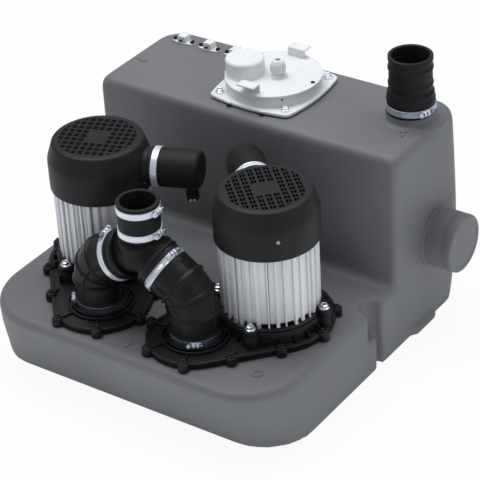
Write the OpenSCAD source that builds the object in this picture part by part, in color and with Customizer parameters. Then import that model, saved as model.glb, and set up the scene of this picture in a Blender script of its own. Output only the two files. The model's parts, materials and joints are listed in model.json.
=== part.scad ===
// Grey water lifting station: one moulded tank, two pumps standing on its low
// front deck, a forked discharge pipe with non-return flaps, and a cover set.
// Frame: origin on the floor under the middle of the tank, +X to the right,
// +Y to the rear, +Z up. All sizes are in millimetres.

/* [Tank] */
// Width of the tank
tank_w = 524; // [500:1:600]
// Depth of the low deck from its front to the rear block
deck_d = 342; // [330:1:380]
// Height of the rear block
tank_h = 328; // [310:1:360]
// Height of the front deck
deck_h = 112; // [104:1:124]
// Depth of the rear block along its top
block_d = 192; // [180:1:205]
// Wall of the tank
tank_wall = 5; // [4:0.5:6]
// How far the deck front leans back at the floor
front_lean = 41; // [10:1:50]
// Lean of the rear wall from its widest line to the top
rear_lean = 13; // [4:1:20]
// Lean of the rear wall from its widest line to the floor
rear_foot_lean = 18; // [4:1:25]
// Height of the widest line of the rear wall
rear_wide_z = 150; // [120:1:180]
// Plan radius of the deck's front corners
deck_corner_r = 93; // [60:1:100]
// Plan radius of the rear corners
rear_corner_r = 45; // [30:1:60]
// Edge radius along the top of the rear block
block_edge_r = 15; // [10:1:20]
// Edge radius along the top of the deck
deck_edge_r = 12; // [8:1:16]
// Hollow radius where the deck meets the block
junction_r = 12; // [8:1:16]

/* [Fixing grooves and feet] */
// Radius of the upright groove in each side
groove_r = 18.5; // [15:0.5:20]
// Distance of the groove's axis from the side face
groove_inset = 5; // [4:0.5:8]
// Distance of the groove's axis in front of the rear block
groove_ahead = 55.5; // [50:0.5:64]
// Height of the groove's floor
groove_z = 58; // [50:1:70]
// Width of the channel below the groove
channel_w = 14; // [10:1:16]
// Depth of the channel below the groove
channel_depth = 15; // [10:1:18]
// Length of each side foot
foot_len = 60; // [40:1:70]
// How far each side foot stands out
foot_out = 7; // [5:0.5:9]
// Height of each side foot
foot_h = 14; // [10:1:18]
// Distance of each side foot's middle behind the front of the rear block
foot_back = 78.5; // [66:0.5:86]
// Radius of the blind dimple low in each side
dimple_r = 3.2; // [2:0.1:4]

/* [Side spigots] */
// Outside diameter of a side spigot
spigot_d = 90; // [80:1:96]
// How far a spigot stands out of the side wall
spigot_len = 45; // [40:1:55]
// Wall of a spigot
spigot_wall = 4; // [3:0.5:5]
// Height of the spigots' axis
spigot_z = 141.5; // [135:0.5:160]
// Distance of the spigots' axis in front of the rear block's top rear line
spigot_ahead = 74; // [70:0.5:86]

/* [Inlet] */
// Distance of the inlet's axis inside the right side face
inlet_in = 44.2; // [42:0.1:50]
// Distance of the inlet's axis in front of the rear block's top rear line
inlet_ahead = 70.2; // [60:0.1:80]
// Outside diameter of the moulded neck
neck_d = 62; // [58:0.5:64]
// Length of the moulded neck
neck_len = 42; // [36:1:50]
// Bore of the rubber sleeve's mouth
inlet_bore_d = 55; // [50:0.5:56]
// Wall of the rubber sleeves
sleeve_wall = 4.4; // [3.5:0.1:5]
// Length of the inlet sleeve
inlet_sleeve_len = 100; // [90:1:120]

/* [Pumps] */
// Distance of each pump's axis from the middle
pump_x = 146.7; // [140:0.1:155]
// Distance of the pumps' axes behind the deck's front
pump_back = 189; // [184:0.5:194]
// Angle between a pump's long axis and the X axis
pump_turn = 58; // [54:1:62]
// Distance from a pump's axis to its delivery port
port_dist = 118; // [116:0.5:122]
// Radius of the base plate round the motor
plate_r = 92; // [90:0.5:96]
// Radius of the base plate round the port
plate_port_r = 72; // [70:0.5:76]
// Thickness of the base plate
plate_t = 8; // [6:0.5:10]
// Thickness of the gasket below it
gasket_t = 2; // [1:0.5:3]
// Radius of a plate boss
boss_r = 8.5; // [7:0.5:9]
// Radius of the plate screws
plate_screw_r = 2.9; // [2:0.1:3]
// Radius of the raised motor seat
seat_r = 77; // [76:0.5:80]
// Top of the motor seat above the plate's top
seat_h = 17; // [14:0.5:20]
// Thickness of the bearing bracket
bracket_t = 8; // [6:0.5:10]
// Radius of the circle through the motor bolts
bolt_circle_r = 81; // [80:0.5:83]
// Radius of the motor bolts
motor_bolt_r = 3; // [2.5:0.1:4]
// Depth of the pump casing below the plate
casing_depth = 70; // [60:1:80]
// Radius of the pump casing round the shaft
casing_r = 68; // [64:0.5:70]
// Radius of the pump casing round the port
casing_port_r = 42; // [38:0.5:46]
// Wall of the pump casing
casing_wall = 4; // [3:0.5:5]
// Radius of the suction mouth
suction_r = 26; // [20:0.5:30]

/* [Motors] */
// Height of the fan cover's flat top above the deck
motor_rise = 218; // [213:0.5:228]
// Outside radius of the fan cover
cover_r = 76; // [74:0.5:80]
// Radius of the fan cover's flat top
cover_top_r = 69; // [64:0.5:71]
// Height of the cover's shoulder below its top
cover_shoulder = 22; // [15:0.5:26]
// Height of the fan cover over all
cover_h = 74; // [66:0.5:80]
// Wall of the fan cover
cover_wall = 3; // [2:0.5:4]
// Pitch of the air holes along the cable housing
hole_pitch_along = 10.5; // [9.5:0.1:11.5]
// Pitch of the air holes across the cable housing
hole_pitch_across = 12; // [11:0.1:13]
// Length of an air hole along the cable housing
hole_along = 6.6; // [5:0.1:7.4]
// Width of an air hole across the cable housing
hole_across = 8.5; // [6:0.1:9]
// Radius of the circle that holds the air holes
grille_r = 57; // [50:0.5:60]
// Outside radius of the motor's cooling fins
fin_r = 72.2; // [70:0.1:72.6]
// Radius of the motor's plain tube
tube_r = 62; // [60:0.5:64]
// Bore radius of the motor's tube
tube_bore_r = 56; // [53:0.5:57]
// Number of cooling fins
fin_count = 36; // [24:1:40]
// Thickness of a cooling fin
fin_t = 2.4; // [1.6:0.1:3]
// Angle of the cable housing from the pump's long axis
housing_turn = 78; // [70:1:90]
// Depth of the cable housing's axis below the fan cover's top
housing_drop = 41; // [38:0.5:42]
// Radius of the cable housing's boot
boot_r = 29; // [28:0.5:30]
// Distance of the boot's end from the motor's axis
boot_end = 155; // [150:1:165]
// Wall of the rubber boot
boot_wall = 2; // [1.5:0.1:3]

/* [Rotor] */
// Radius of the shaft where the impeller sits
shaft_r = 8; // [7:0.1:8.2]
// Radius of the impeller
impeller_r = 48; // [40:0.5:50]
// Number of impeller vanes
vane_count = 6; // [4:1:8]
// Radius of the cooling fan
fan_r = 62; // [50:0.5:66]
// Number of fan blades
blade_count = 8; // [6:1:10]
// Length of the rotor core
core_len = 70; // [50:1:74]
// Air gap between the rotor and the stator
air_gap = 0.6; // [0.4:0.1:1]

/* [Delivery pipes] */
// Bore radius of the elbows
elbow_bore_r = 31.4; // [31:0.1:32]
// Wall of the elbows
elbow_wall = 5.1; // [4:0.1:6]
// Bend radius of the elbows
bend_r = 45; // [44:0.5:60]
// Angle of the bend
bend_a = 60; // [56:1:62]
// Length of the straight foot of an elbow
elbow_foot = 43.1; // [40:0.1:46]
// Length of the straight upper cuff of an elbow
elbow_cuff = 44.6; // [42:0.1:48]
// Length of a fork branch inside an elbow
fork_grip = 28; // [20:0.5:32]
// Height of the moulded ribs on the elbows
elbow_rib = 1.5; // [1:0.1:2]
// Outside diameter of the delivery pipe that the outlet takes
outlet_pipe_d = 50; // [40:1:52]
// Height of the outlet's mouth above the deck
outlet_rise = 208; // [203:1:218]
// Length of the outlet sleeve
outlet_sleeve_len = 56; // [50:1:62]
// Wall of the outlet sleeve
outlet_wall = 5.8; // [4:0.1:6]
// Radius of a non-return flap
flap_r = 22.5; // [20:0.5:23]
// Thickness of a non-return flap
flap_t = 3.5; // [3:0.5:5]
// Radius of the flap's pin
flap_pin_r = 1.5; // [1.2:0.1:1.6]

/* [Hose clamps] */
// Width of a clamp band
band_w = 10; // [8:0.5:12]
// Thickness of a clamp band
band_t = 1; // [0.8:0.1:1.2]

/* [Cover set] */
// X place of the cover
lid_x = -4; // [-10:1:10]
// Distance of the cover's middle in front of the rear block's top rear line
lid_ahead = 95.5; // [90:0.5:100]
// Half width of the cover's flange at its bowed middle
lid_half = 78; // [77:0.5:84]
// Thickness of the cover's flange
lid_flange_t = 5; // [4:0.5:7]
// Radius of the cover's drum
drum_r = 73.6; // [70:0.1:74.4]
// Height of the drum above the flange
drum_h = 20; // [16:0.5:28]
// Half spacing of the cover's screws
lid_screw_half = 58.5; // [57:0.5:60]
// Radius of the tank's opening below the cover
lid_hole_r = 55; // [50:0.5:60]
// Radius of the round vent cap
vent_r = 29.6; // [25:0.1:30]
// Height of the round vent cap
vent_h = 26; // [20:0.5:32]
// Bore radius of the cable gland
gland_bore_r = 4; // [2.5:0.1:4.5]
// Length of the long dip tube below the cover
dip_long = 285; // [240:1:290]
// Length of the short dip tube below the cover
dip_short = 170; // [120:1:200]

/* [Cable clamps] */
// Number of cable clamps on the tank
cable_clamps = 3; // [1:1:3]
// Spacing of the cable clamps
cable_clamp_pitch = 49; // [46:1:52]
// Distance of the first cable clamp inside the left side face
cable_clamp_in = 48; // [46:1:52]
// Distance of the cable clamps in front of the rear block's top rear line
cable_clamp_ahead = 35.5; // [32:0.5:40]

/* [Hidden] */
$fn = 64;
thin = 0.02;
arc_steps = 10;
edge_steps = 3;
fit = 0.3;
run = 0.05;

tank_d = deck_d + block_d + rear_lean;
rear_y = tank_d / 2;
front_y = -tank_d / 2;
block_rear_y = rear_y - rear_lean;
block_front_y = block_rear_y - block_d;
side_x = tank_w / 2;
groove_y = block_front_y - groove_ahead;
foot_y = block_front_y + foot_back;
spigot_y = block_rear_y - spigot_ahead;
inlet_x = side_x - inlet_in;
inlet_y = block_rear_y - inlet_ahead;
lid_y = block_rear_y - lid_ahead;
cable_clamp_x = cable_clamp_in - side_x;
cable_clamp_y = block_rear_y - cable_clamp_ahead;
dimple_y = groove_y - 51;
dimple_z = 12;
pump_y = front_y + pump_back;

port_x = pump_x - port_dist * cos(pump_turn);
port_y = pump_y - port_dist * sin(pump_turn);

plate_z = deck_h + gasket_t;
plate_top = plate_z + plate_t;
seat_top = plate_top + seat_h;
motor_z = seat_top + bracket_t;
boss_top = plate_top + 3.5;
cover_top_z = deck_h + motor_rise;
cover_bottom = cover_top_z - cover_h;
housing_z = cover_top_z - housing_drop;
casing_z = plate_z - casing_depth;

shaft_mid_r = 9.45;
shaft_top_r = 7;
bearing_low_z = seat_top + 1;
bearing_h = 12;
bearing_low_r = 20;
bearing_top_r = 17.5;
bearing_top_h = 9;
motor_end_z = cover_bottom + 2;
motor_end_t = 6;
bearing_top_z = motor_end_z + 2;
rotor_r = 32.5;
stator_mid_z = (motor_z + motor_end_z + 1) / 2;
core_z = stator_mid_z - core_len / 2;
impeller_z = casing_z + 22;
shaft_low_z = impeller_z - 9;
fan_z = motor_end_z + motor_end_t + 30;
fan_h = 20;
shaft_top_z = fan_z + fan_h;

spigot_top = plate_top + 24;
port_tube_r = elbow_bore_r - fit;
port_bore_r = 20;
flap_z = spigot_top;
flap_hinge = 25;
flap_pin_z = spigot_top + 4;
bend_z = plate_top + 1 + elbow_foot;
elbow_r = elbow_bore_r + elbow_wall;
elbow_rib_angles = [1, 27, 52];
fork_run = port_x - bend_r * (1 - cos(bend_a));
fork_z = bend_z + bend_r * sin(bend_a) + fork_run / tan(bend_a);
fork_axis = fork_run / sin(bend_a);
fork_len = fork_axis - elbow_cuff + fork_grip;
fork_r = elbow_bore_r - fit;
fork_bore_r = 27;
shoulder_r = 33;
outlet_top_z = deck_h + outlet_rise;
outlet_r = outlet_pipe_d / 2;
outlet_neck_r = outlet_r - 1;
outlet_bore_r = outlet_r + 0.25;
outlet_grip = 34;
outlet_z = outlet_top_z - outlet_sleeve_len;
outlet_out_r = outlet_bore_r + outlet_wall;

neck_r = neck_d / 2;
inlet_out_r = neck_r + fit + sleeve_wall;
inlet_z = tank_h + 2;
inlet_neck_z = tank_h + neck_len + 6;
inlet_rim_r = inlet_bore_d / 2 + 5.5;

lid_z = tank_h + 2;
lid_flange_top = lid_z + lid_flange_t;
drum_top = lid_flange_top + drum_h;
drum_wall = 3;
vent_dx = -39;
vent_dy = -17.4;
lid_screw_r = 2.5;
gland_dx = 11.5;
gland_dy = -4.5;
clip_y = 61;
switch_h = 12;

boot_start = cover_r + 2.5;
boot_clamp_at = cover_r + 9;
housing_end = cover_r + 22;
terminal_at = housing_end + 2;
terminal_base_t = 22;
terminal_w = 16;
terminal_l = 28;
terminal_h = 8;
boot_inner_r = boot_r - boot_wall;
boot_drop = boot_end - 17;
boot_round_r = 7;

// Outline helpers

function arc_pts(cx, cy, r, a0, a1, n) =
  [for (i = [0:n]) [cx + r * cos(a0 + (a1 - a0) * i / n), cy + r * sin(a0 + (a1 - a0) * i / n)]];

function rounded_box(hw, y0, y1, rf, rr) = concat(
  arc_pts(hw - rf, y0 + rf, rf, -90, 0, arc_steps),
  arc_pts(hw - rr, y1 - rr, rr, 0, 90, arc_steps),
  arc_pts(rr - hw, y1 - rr, rr, 90, 180, arc_steps),
  arc_pts(rf - hw, y0 + rf, rf, 180, 270, arc_steps));

// Outline round two circles on the X axis and their common tangents
function egg_pts(r1, r2, d) = let (b = acos((r1 - r2) / d)) concat(
  arc_pts(d, 0, r2, -b, b, 20),
  arc_pts(0, 0, r1, b, 360 - b, 36));

function power_curve(half, n) =
  [for (i = [0:71]) let (c = cos(i * 5), s = sin(i * 5))
    [half * sign(c) * pow(abs(c), 2 / n), half * sign(s) * pow(abs(s), 2 / n)]];

module ring(r_out, r_in, h) {
  difference() {
    cylinder(r = r_out, h = h);
    translate([0, 0, -1]) cylinder(r = r_in, h = h + 2);
  }
}

// Placement helpers: pump 0 is on the left, pump 1 on the right

function side(u) = u == 0 ? -1 : 1;
function long_angle(u) = u == 0 ? -pump_turn : 180 + pump_turn;
function housing_angle(u) = u == 0 ? housing_turn : 180 + housing_turn;
function fork_angle(u) = u == 0 ? 0 : 180;

module at_pump(u) {
  translate([side(u) * pump_x, pump_y, 0]) rotate([0, 0, long_angle(u)]) children();
}

module at_port(u) {
  translate([side(u) * port_x, port_y, 0]) rotate([0, 0, fork_angle(u)]) children();
}

module at_housing(u) {
  at_pump(u) rotate([0, 0, housing_angle(u)]) translate([0, 0, housing_z]) rotate([0, 90, 0]) children();
}

// Tank

module layer(z, hw, y0, y1, rf, rr) {
  translate([0, 0, z]) linear_extrude(thin) polygon(rounded_box(hw, y0, y1, rf, rr));
}

module block_form(i) {
  hull() {
    layer(i, side_x - i, block_front_y + i, rear_y - rear_foot_lean - i, 2, rear_corner_r - i);
    layer(rear_wide_z, side_x - i, block_front_y + i, rear_y - i, 8, rear_corner_r - i);
    for (k = [0:edge_steps]) {
      a = 90 * k / edge_steps;
      in = i + (block_edge_r - i) * (1 - cos(a));
      layer(tank_h - block_edge_r + (block_edge_r - i) * sin(a) - thin, side_x - in,
        block_front_y + in, block_rear_y - in, block_edge_r, rear_corner_r - in);
    }
  }
}

module deck_form(i) {
  hull() {
    layer(i, side_x - i, front_y + front_lean + i, block_front_y + 30, deck_corner_r - i, 2);
    for (k = [0:edge_steps]) {
      a = 90 * k / edge_steps;
      in = i + (deck_edge_r - i) * (1 - cos(a));
      z = deck_h - deck_edge_r + (deck_edge_r - i) * sin(a) - thin;
      layer(z, side_x - in, front_y + in, block_front_y + 30, deck_corner_r - in, 2);
    }
  }
}

module junction() {
  corner = [block_front_y + 1, deck_h - 1];
  c = [block_front_y - junction_r, deck_h + junction_r];
  pts = concat([corner, [c[0], corner[1]]], arc_pts(c[0], c[1], junction_r, -90, 0, 6),
    [[corner[0], c[1]]]);
  translate([deck_edge_r - side_x, 0, 0]) rotate([90, 0, 90])
    linear_extrude(tank_w - 2 * deck_edge_r) polygon(pts);
}

module groove_form(extra) {
  x = side_x - groove_inset;
  translate([x, groove_y, groove_z - extra]) cylinder(r = groove_r + extra, h = deck_h);
  translate([side_x - channel_depth - extra, groove_y + groove_r - channel_w - extra, -1])
    cube([channel_depth + extra + 5, channel_w + 2 * extra, groove_z + 3]);
}

module spigot_form() {
  x0 = side_x - 12;
  len = spigot_len + 12;
  translate([x0, spigot_y, spigot_z]) rotate([0, 90, 0]) cylinder(d = spigot_d, h = len);
  translate([x0, spigot_y, spigot_z]) rotate([0, 90, 0]) cylinder(d = spigot_d + 3, h = 15);
}

module spigot_grooves() {
  for (k = [0:1])
    translate([side_x + spigot_len - 13 + 4 * k, spigot_y, spigot_z]) rotate([0, 90, 0])
      ring(spigot_d, spigot_d / 2 - 1, 1.6);
}

module spigot_bore() {
  translate([side_x - 20, spigot_y, spigot_z]) rotate([0, 90, 0])
    cylinder(r = spigot_d / 2 - spigot_wall, h = 20 + spigot_len - spigot_wall);
}

module foot() {
  translate([side_x - 20, foot_y - foot_len / 2, 0]) cube([20 + foot_out, foot_len, foot_h]);
}

module both_sides() {
  children();
  mirror([1, 0, 0]) children();
}

module tank() {
  color("dimgray") difference() {
    union() {
      difference() {
        union() {
          block_form(0);
          deck_form(0);
        }
        difference() {
          union() {
            block_form(tank_wall);
            deck_form(tank_wall);
          }
          both_sides() groove_form(tank_wall);
        }
      }
      junction();
      both_sides() spigot_form();
      both_sides() foot();
      translate([inlet_x, inlet_y, tank_h - 3]) cylinder(r = neck_r, h = neck_len + 3);
      for (u = [0:1]) at_pump(u) plate_boss_places(deck_h - 16) cylinder(r = 6, h = 12);
    }
    both_sides() spigot_bore();
    both_sides() spigot_grooves();
    both_sides() groove_form(0);
    both_sides() translate([side_x - 2.5, dimple_y, dimple_z]) rotate([0, 90, 0])
      cylinder(r = dimple_r, h = 5);
    translate([inlet_x, inlet_y, tank_h - 20]) cylinder(r = neck_r - 5, h = neck_len + 30);
    translate([lid_x, lid_y, tank_h - 20]) cylinder(r = lid_hole_r, h = 40);
    for (u = [0:1]) at_pump(u) {
      translate([0, 0, deck_h - 30])
        linear_extrude(60) polygon(egg_pts(casing_r + 5, casing_port_r + 5, port_dist));
      plate_boss_places(deck_h - 9) cylinder(r = plate_screw_r + run, h = 20);
    }
    at_lid_screws(tank_h - 10) cylinder(r = lid_screw_r + run, h = 20);
    at_cable_clamps(tank_h - 10) cable_clamp_screw_places() cylinder(r = 2 + run, h = 20);
  }
}

// Inspection cover and what it carries

module at_lid(z) {
  translate([lid_x, lid_y, z]) children();
}

module at_lid_screws(z) {
  for (sx = [-1, 1], sy = [-1, 1])
    at_lid(z) translate([sx * lid_screw_half, sy * lid_screw_half, 0]) children();
}

module inspection_cover() {
  color("white") difference() {
    union() {
      at_lid(lid_z) linear_extrude(lid_flange_t) polygon(power_curve(lid_half, 4.3));
      at_lid(lid_flange_top - 1) cylinder(r = drum_r - 1.4, h = drum_h);
      at_lid(drum_top - 4) cylinder(r = drum_r, h = 4);
    }
    at_lid(lid_z - 1) cylinder(r = lid_hole_r, h = lid_flange_t + 2);
    at_lid(lid_flange_top) cylinder(r = drum_r - 1.4 - drum_wall, h = drum_h - drum_wall);
    at_lid_screws(lid_z - 1) cylinder(r = lid_screw_r + run, h = 10);
    at_lid(drum_top - 5) translate([gland_dx, gland_dy, 0]) cylinder(r = 8.05, h = 10);
    at_lid(drum_top - 5) translate([vent_dx, vent_dy, 0]) cylinder(r = 12, h = 10);
    at_lid(drum_top - 2) translate([drum_r - 6, 3, 0]) cylinder(r = 3.5, h = 5);
  }
}

module cover_gasket() {
  tab = 5;
  color("black") difference() {
    union() {
      at_lid(tank_h) linear_extrude(2) polygon(power_curve(lid_half - 3, 4.3));
      for (sx = [-1, 1], sy = [-1, 1])
        at_lid(tank_h) translate([sx * 29 - tab / 2, sy * (lid_half - 4) - 4.5, 0]) cube([tab, 9, 2]);
    }
    at_lid(tank_h - 1) cylinder(r = lid_hole_r + 1, h = 4);
    at_lid_screws(tank_h - 1) cylinder(r = lid_screw_r + run, h = 4);
  }
}

module flange_screw(r, len) {
  cylinder(r = r * 2.2, h = 1.2);
  translate([0, 0, 1.2]) cylinder(r = r * 1.7, h = r * 1.5, $fn = 6);
  translate([0, 0, -len]) cylinder(r = r, h = len + 1);
}

module cover_screws() {
  color("silver") at_lid_screws(lid_flange_top) flange_screw(lid_screw_r, lid_flange_t + 2 + tank_wall - 1);
}

module cover_clips() {
  wide = 30;
  high = 14;
  reach = 18;
  sheet = 2.5;
  color("white") for (s = [-1, 1])
    at_lid(drum_top) translate([1.5 - wide / 2, s * clip_y, 0]) {
      translate([0, -sheet / 2, 0]) cube([wide, sheet, high]);
      translate([0, s > 0 ? -sheet / 2 : sheet / 2 - reach, high - sheet]) cube([wide, reach, sheet]);
    }
}

module vent_cap() {
  color("white") at_lid(drum_top) translate([vent_dx, vent_dy, 0]) difference() {
    union() {
      rotate_extrude() polygon(concat([[0, 0], [vent_r, 0]],
        arc_pts(vent_r - 4, vent_h - 4, 3, 0, 90, 4), [[0, vent_h - 1]]));
      translate([0, 0, -3]) cylinder(r = 11.9, h = 4);
    }
    translate([0, 0, 4]) cylinder(r = vent_r - 3, h = vent_h - 8);
    translate([0, 0, -4]) cylinder(r = 9, h = 9);
  }
}

module cover_gland() {
  color("white") at_lid(drum_top) translate([gland_dx, gland_dy, 0]) {
    difference() {
      union() {
        translate([0, 0, -drum_wall - 4]) cylinder(r = 8, h = drum_wall + 9.7);
        cylinder(r = 12.4, h = 5, $fn = 6);
      }
      translate([0, 0, -10]) cylinder(r = gland_bore_r, h = 30);
    }
    translate([0, 0, 6]) difference() {
      union() {
        cylinder(r = 11.2, h = 14, $fn = 12);
        translate([0, 0, 14]) cylinder(r1 = 10, r2 = 6.5, h = 8);
      }
      translate([0, 0, -1]) cylinder(r = gland_bore_r, h = 30);
    }
    translate([0, 0, -drum_wall - 4]) difference() {
      cylinder(r = 12.4, h = 4, $fn = 6);
      translate([0, 0, -1]) cylinder(r = 8.02, h = 6);
    }
  }
}

module cover_plugs() {
  color("black") {
    at_lid(drum_top - 2) translate([drum_r - 6, 3, 0]) cylinder(r = 3.4, h = 3);
  }
}

function dip_place(k) = k == 0 ? [26, 22, 0] : [-16, 28, 0];

module pressure_switches() {
  color("ivory") for (k = [0:1])
    at_lid(drum_top - drum_wall - switch_h) translate(dip_place(k)) cylinder(r = 15, h = switch_h);
}

module dip_tubes() {
  z = drum_top - drum_wall - switch_h;
  color("gainsboro") {
    at_lid(z - dip_long) translate(dip_place(0)) ring(14, 12, dip_long);
    at_lid(z - dip_short) translate(dip_place(1)) ring(14, 12, dip_short);
  }
}

// Cable clamps on the tank

module at_cable_clamps(z) {
  for (k = [0:cable_clamps - 1])
    translate([cable_clamp_x + k * cable_clamp_pitch, cable_clamp_y, z]) children();
}

module cable_clamp_screw_places() {
  for (s = [-1, 1]) translate([s * 16, 0, 0]) children();
}

module cable_clamp_plates() {
  color("white") at_cable_clamps(tank_h) difference() {
    linear_extrude(2.5) polygon(egg_clamp_pts());
    translate([0, 0, -1]) cable_clamp_screw_places() cylinder(r = 2 + run, h = 5);
  }
}

function egg_clamp_pts() = concat(arc_pts(17, 0, 5, -60, 60, 6), [[6, 8], [-6, 8]],
  arc_pts(-17, 0, 5, 120, 240, 6), [[-6, -8], [6, -8]]);

module cable_clamp_blocks() {
  color("white") at_cable_clamps(tank_h + 2.5) difference() {
    translate([-7, -8, 0]) cube([14, 16, 11]);
    translate([0, 10, 4]) rotate([90, 0, 0]) cylinder(r = 3, h = 20);
  }
}

module cable_clamp_screws() {
  color("black") at_cable_clamps(tank_h + 2.5) cable_clamp_screw_places() {
    cylinder(r = 4, h = 3);
    translate([0, 0, -6]) cylinder(r = 2, h = 7);
  }
}

// Hose clamps: a band with its housing, and the worm screw in it

module hose_clamp(r) {
  hw = 13;
  color("silver") {
    difference() {
      union() {
        ring(r + band_t, r, band_w);
        translate([r + 0.4, -hw / 2, 0.5]) cube([6.6, hw, band_w - 1]);
      }
      translate([r + 4.2, -hw, band_w / 2]) rotate([-90, 0, 0]) cylinder(r = 2.3, h = 2 * hw);
    }
    translate([r + 4.2, -hw / 2 - 3, band_w / 2]) rotate([-90, 0, 0]) cylinder(r = 2.2, h = hw + 4);
    translate([r + 4.2, -hw / 2 - 6.5, band_w / 2]) rotate([-90, 0, 0]) cylinder(r = 3.4, h = 3.5, $fn = 6);
  }
}

// Inlet sleeve

module inlet_sleeve() {
  top = inlet_z + inlet_sleeve_len;
  out_r = inlet_bore_d / 2 + sleeve_wall;
  bore_r = inlet_bore_d / 2;
  color("#232325") translate([inlet_x, inlet_y, 0]) rotate_extrude() polygon([
    [neck_r + 0.1, inlet_z], [inlet_out_r, inlet_z], [inlet_out_r, inlet_z + 30],
    [inlet_out_r - 3.4, inlet_z + 40], [inlet_out_r - 3.4, inlet_z + 46], [out_r, inlet_z + 50],
    [out_r, inlet_z + 60], [out_r + 1.4, inlet_z + 62], [out_r + 1.4, inlet_z + 66],
    [out_r, inlet_z + 68], [out_r, inlet_z + 80], [out_r + 1.4, inlet_z + 82],
    [out_r + 1.4, inlet_z + 85], [out_r, inlet_z + 87], [out_r, top - 8],
    [inlet_rim_r, top - 6], [inlet_rim_r, top], [bore_r, top],
    [bore_r, inlet_neck_z + 6], [neck_r - 5, inlet_neck_z], [neck_r - 5, inlet_neck_z - 6],
    [neck_r + 0.1, inlet_neck_z - 6]]);
}

module inlet_clamp() {
  translate([inlet_x, inlet_y, inlet_z + 10]) rotate([0, 0, -24]) hose_clamp(inlet_out_r + 0.05);
}

// Delivery pipes

module fork_branches(r, len) {
  for (s = [-1, 1]) translate([0, 0, fork_z]) rotate([0, s * (180 - bend_a), 0]) cylinder(r = r, h = len);
}

module y_piece() {
  color("#1f1f21") translate([0, port_y, 0]) difference() {
    union() {
      difference() {
        fork_branches(fork_r, fork_len);
        translate([0, 0, outlet_z]) cylinder(r = 2 * shoulder_r, h = 2 * shoulder_r);
      }
      translate([0, 0, fork_z - 4]) cylinder(r = shoulder_r, h = outlet_z - fork_z + 4);
      translate([0, 0, fork_z]) cylinder(r = outlet_neck_r, h = outlet_top_z - outlet_grip - fork_z);
    }
    fork_branches(fork_bore_r, fork_len + 1);
    translate([0, 0, fork_z]) cylinder(r = outlet_neck_r - 3, h = 100);
  }
}

module outlet_sleeve() {
  top = outlet_top_z;
  color("#232325") translate([0, port_y, 0]) difference() {
    union() {
      translate([0, 0, outlet_z]) cylinder(r = outlet_out_r - 0.6, h = outlet_sleeve_len);
      translate([0, 0, top - 5]) cylinder(r = outlet_out_r + 0.4, h = 5);
    }
    translate([0, 0, outlet_z - 1]) cylinder(r = outlet_neck_r + 0.1, h = outlet_sleeve_len + 2);
    translate([0, 0, top - outlet_grip]) cylinder(r = outlet_bore_r, h = outlet_grip + 1);
  }
}

module sleeve_clamps() {
  for (z = [outlet_z + 4.5, outlet_top_z - 15.5])
    translate([0, port_y, z]) rotate([0, 0, 4]) hose_clamp(outlet_out_r - 0.55);
}

module along_bend(a) {
  translate([bend_r * (1 - cos(a)), 0, bend_z + bend_r * sin(a)]) rotate([0, a, 0]) children();
}

module elbow_bend(r) {
  translate([bend_r, 0, bend_z]) rotate([90, 0, 0]) rotate([0, 0, 180 - bend_a])
    rotate_extrude(angle = bend_a) translate([bend_r, 0]) circle(r = r);
}

// The cuffs are a little thicker than the bend, inside and outside
module elbow(u) {
  lap = 1;
  step = 0.5;
  color("#1f1f21") at_port(u) difference() {
    union() {
      elbow_bend(elbow_r - step);
      translate([0, 0, plate_top + 1]) cylinder(r = elbow_r, h = elbow_foot + lap);
      along_bend(bend_a) translate([0, 0, -lap]) cylinder(r = elbow_r, h = elbow_cuff + lap);
      for (a = elbow_rib_angles) along_bend(a) translate([0, 0, -1.1])
        cylinder(r = elbow_r + elbow_rib, h = 2.2);
    }
    elbow_bend(elbow_bore_r + step);
    translate([0, 0, plate_top]) cylinder(r = elbow_bore_r, h = elbow_foot + 1 + lap);
    along_bend(bend_a) translate([0, 0, -lap]) cylinder(r = elbow_bore_r, h = elbow_cuff + 1 + lap);
  }
}

module elbow_clamps() {
  for (u = [0:1]) at_port(u) {
    translate([0, 0, plate_top + 3]) rotate([0, 0, u == 0 ? -144 : 126]) hose_clamp(elbow_r + 0.05);
    along_bend(bend_a) translate([0, 0, elbow_cuff - 27]) rotate([0, 0, u == 0 ? 150 : 210])
      hose_clamp(elbow_r + 0.05);
  }
}

module flap(u) {
  ear = 6.5;
  color("#303032") at_port(u) difference() {
    union() {
      translate([0, 0, flap_z]) cylinder(r = flap_r, h = flap_t);
      translate([-flap_hinge, ear - 0.3, flap_pin_z]) rotate([90, 0, 0]) cylinder(r = 2.9, h = 2 * ear - 0.6);
      translate([-flap_hinge, 0.3 - ear, flap_z + 1.1]) cube([8, 2 * ear - 0.6, flap_t - 1.1]);
    }
    translate([-flap_hinge, ear + 1, flap_pin_z]) rotate([90, 0, 0])
      cylinder(r = flap_pin_r + run, h = 2 * ear + 2);
  }
}

module flap_pins() {
  color("silver") for (u = [0:1]) at_port(u)
    translate([-flap_hinge, 9.5, flap_pin_z]) rotate([90, 0, 0]) cylinder(r = flap_pin_r, h = 19);
}

// Pump base plate and casing

function boss_angles() = [38.5, 74, 118, 158];

function boss_ring(a) = a < 60 ? tangent_reach(a) : plate_r + 1;

// Distance from the motor axis to the tangent side of the plate at angle a
function tangent_reach(a) = let (b = acos((plate_r - plate_port_r) / port_dist)) plate_r / cos(b - a);

module plate_boss_places(z) {
  for (s = [-1, 1], a = boss_angles()) rotate([0, 0, s * a]) translate([boss_ring(a), 0, z]) children();
  for (a = [-54, 0, 54]) translate([port_dist, 0, z]) rotate([0, 0, a])
    translate([plate_port_r + 2, 0, 0]) children();
}

module plate_outline(less) {
  polygon(egg_pts(plate_r - less, plate_port_r - less, port_dist));
  plate_boss_places(0) circle(r = boss_r - less);
}

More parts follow.
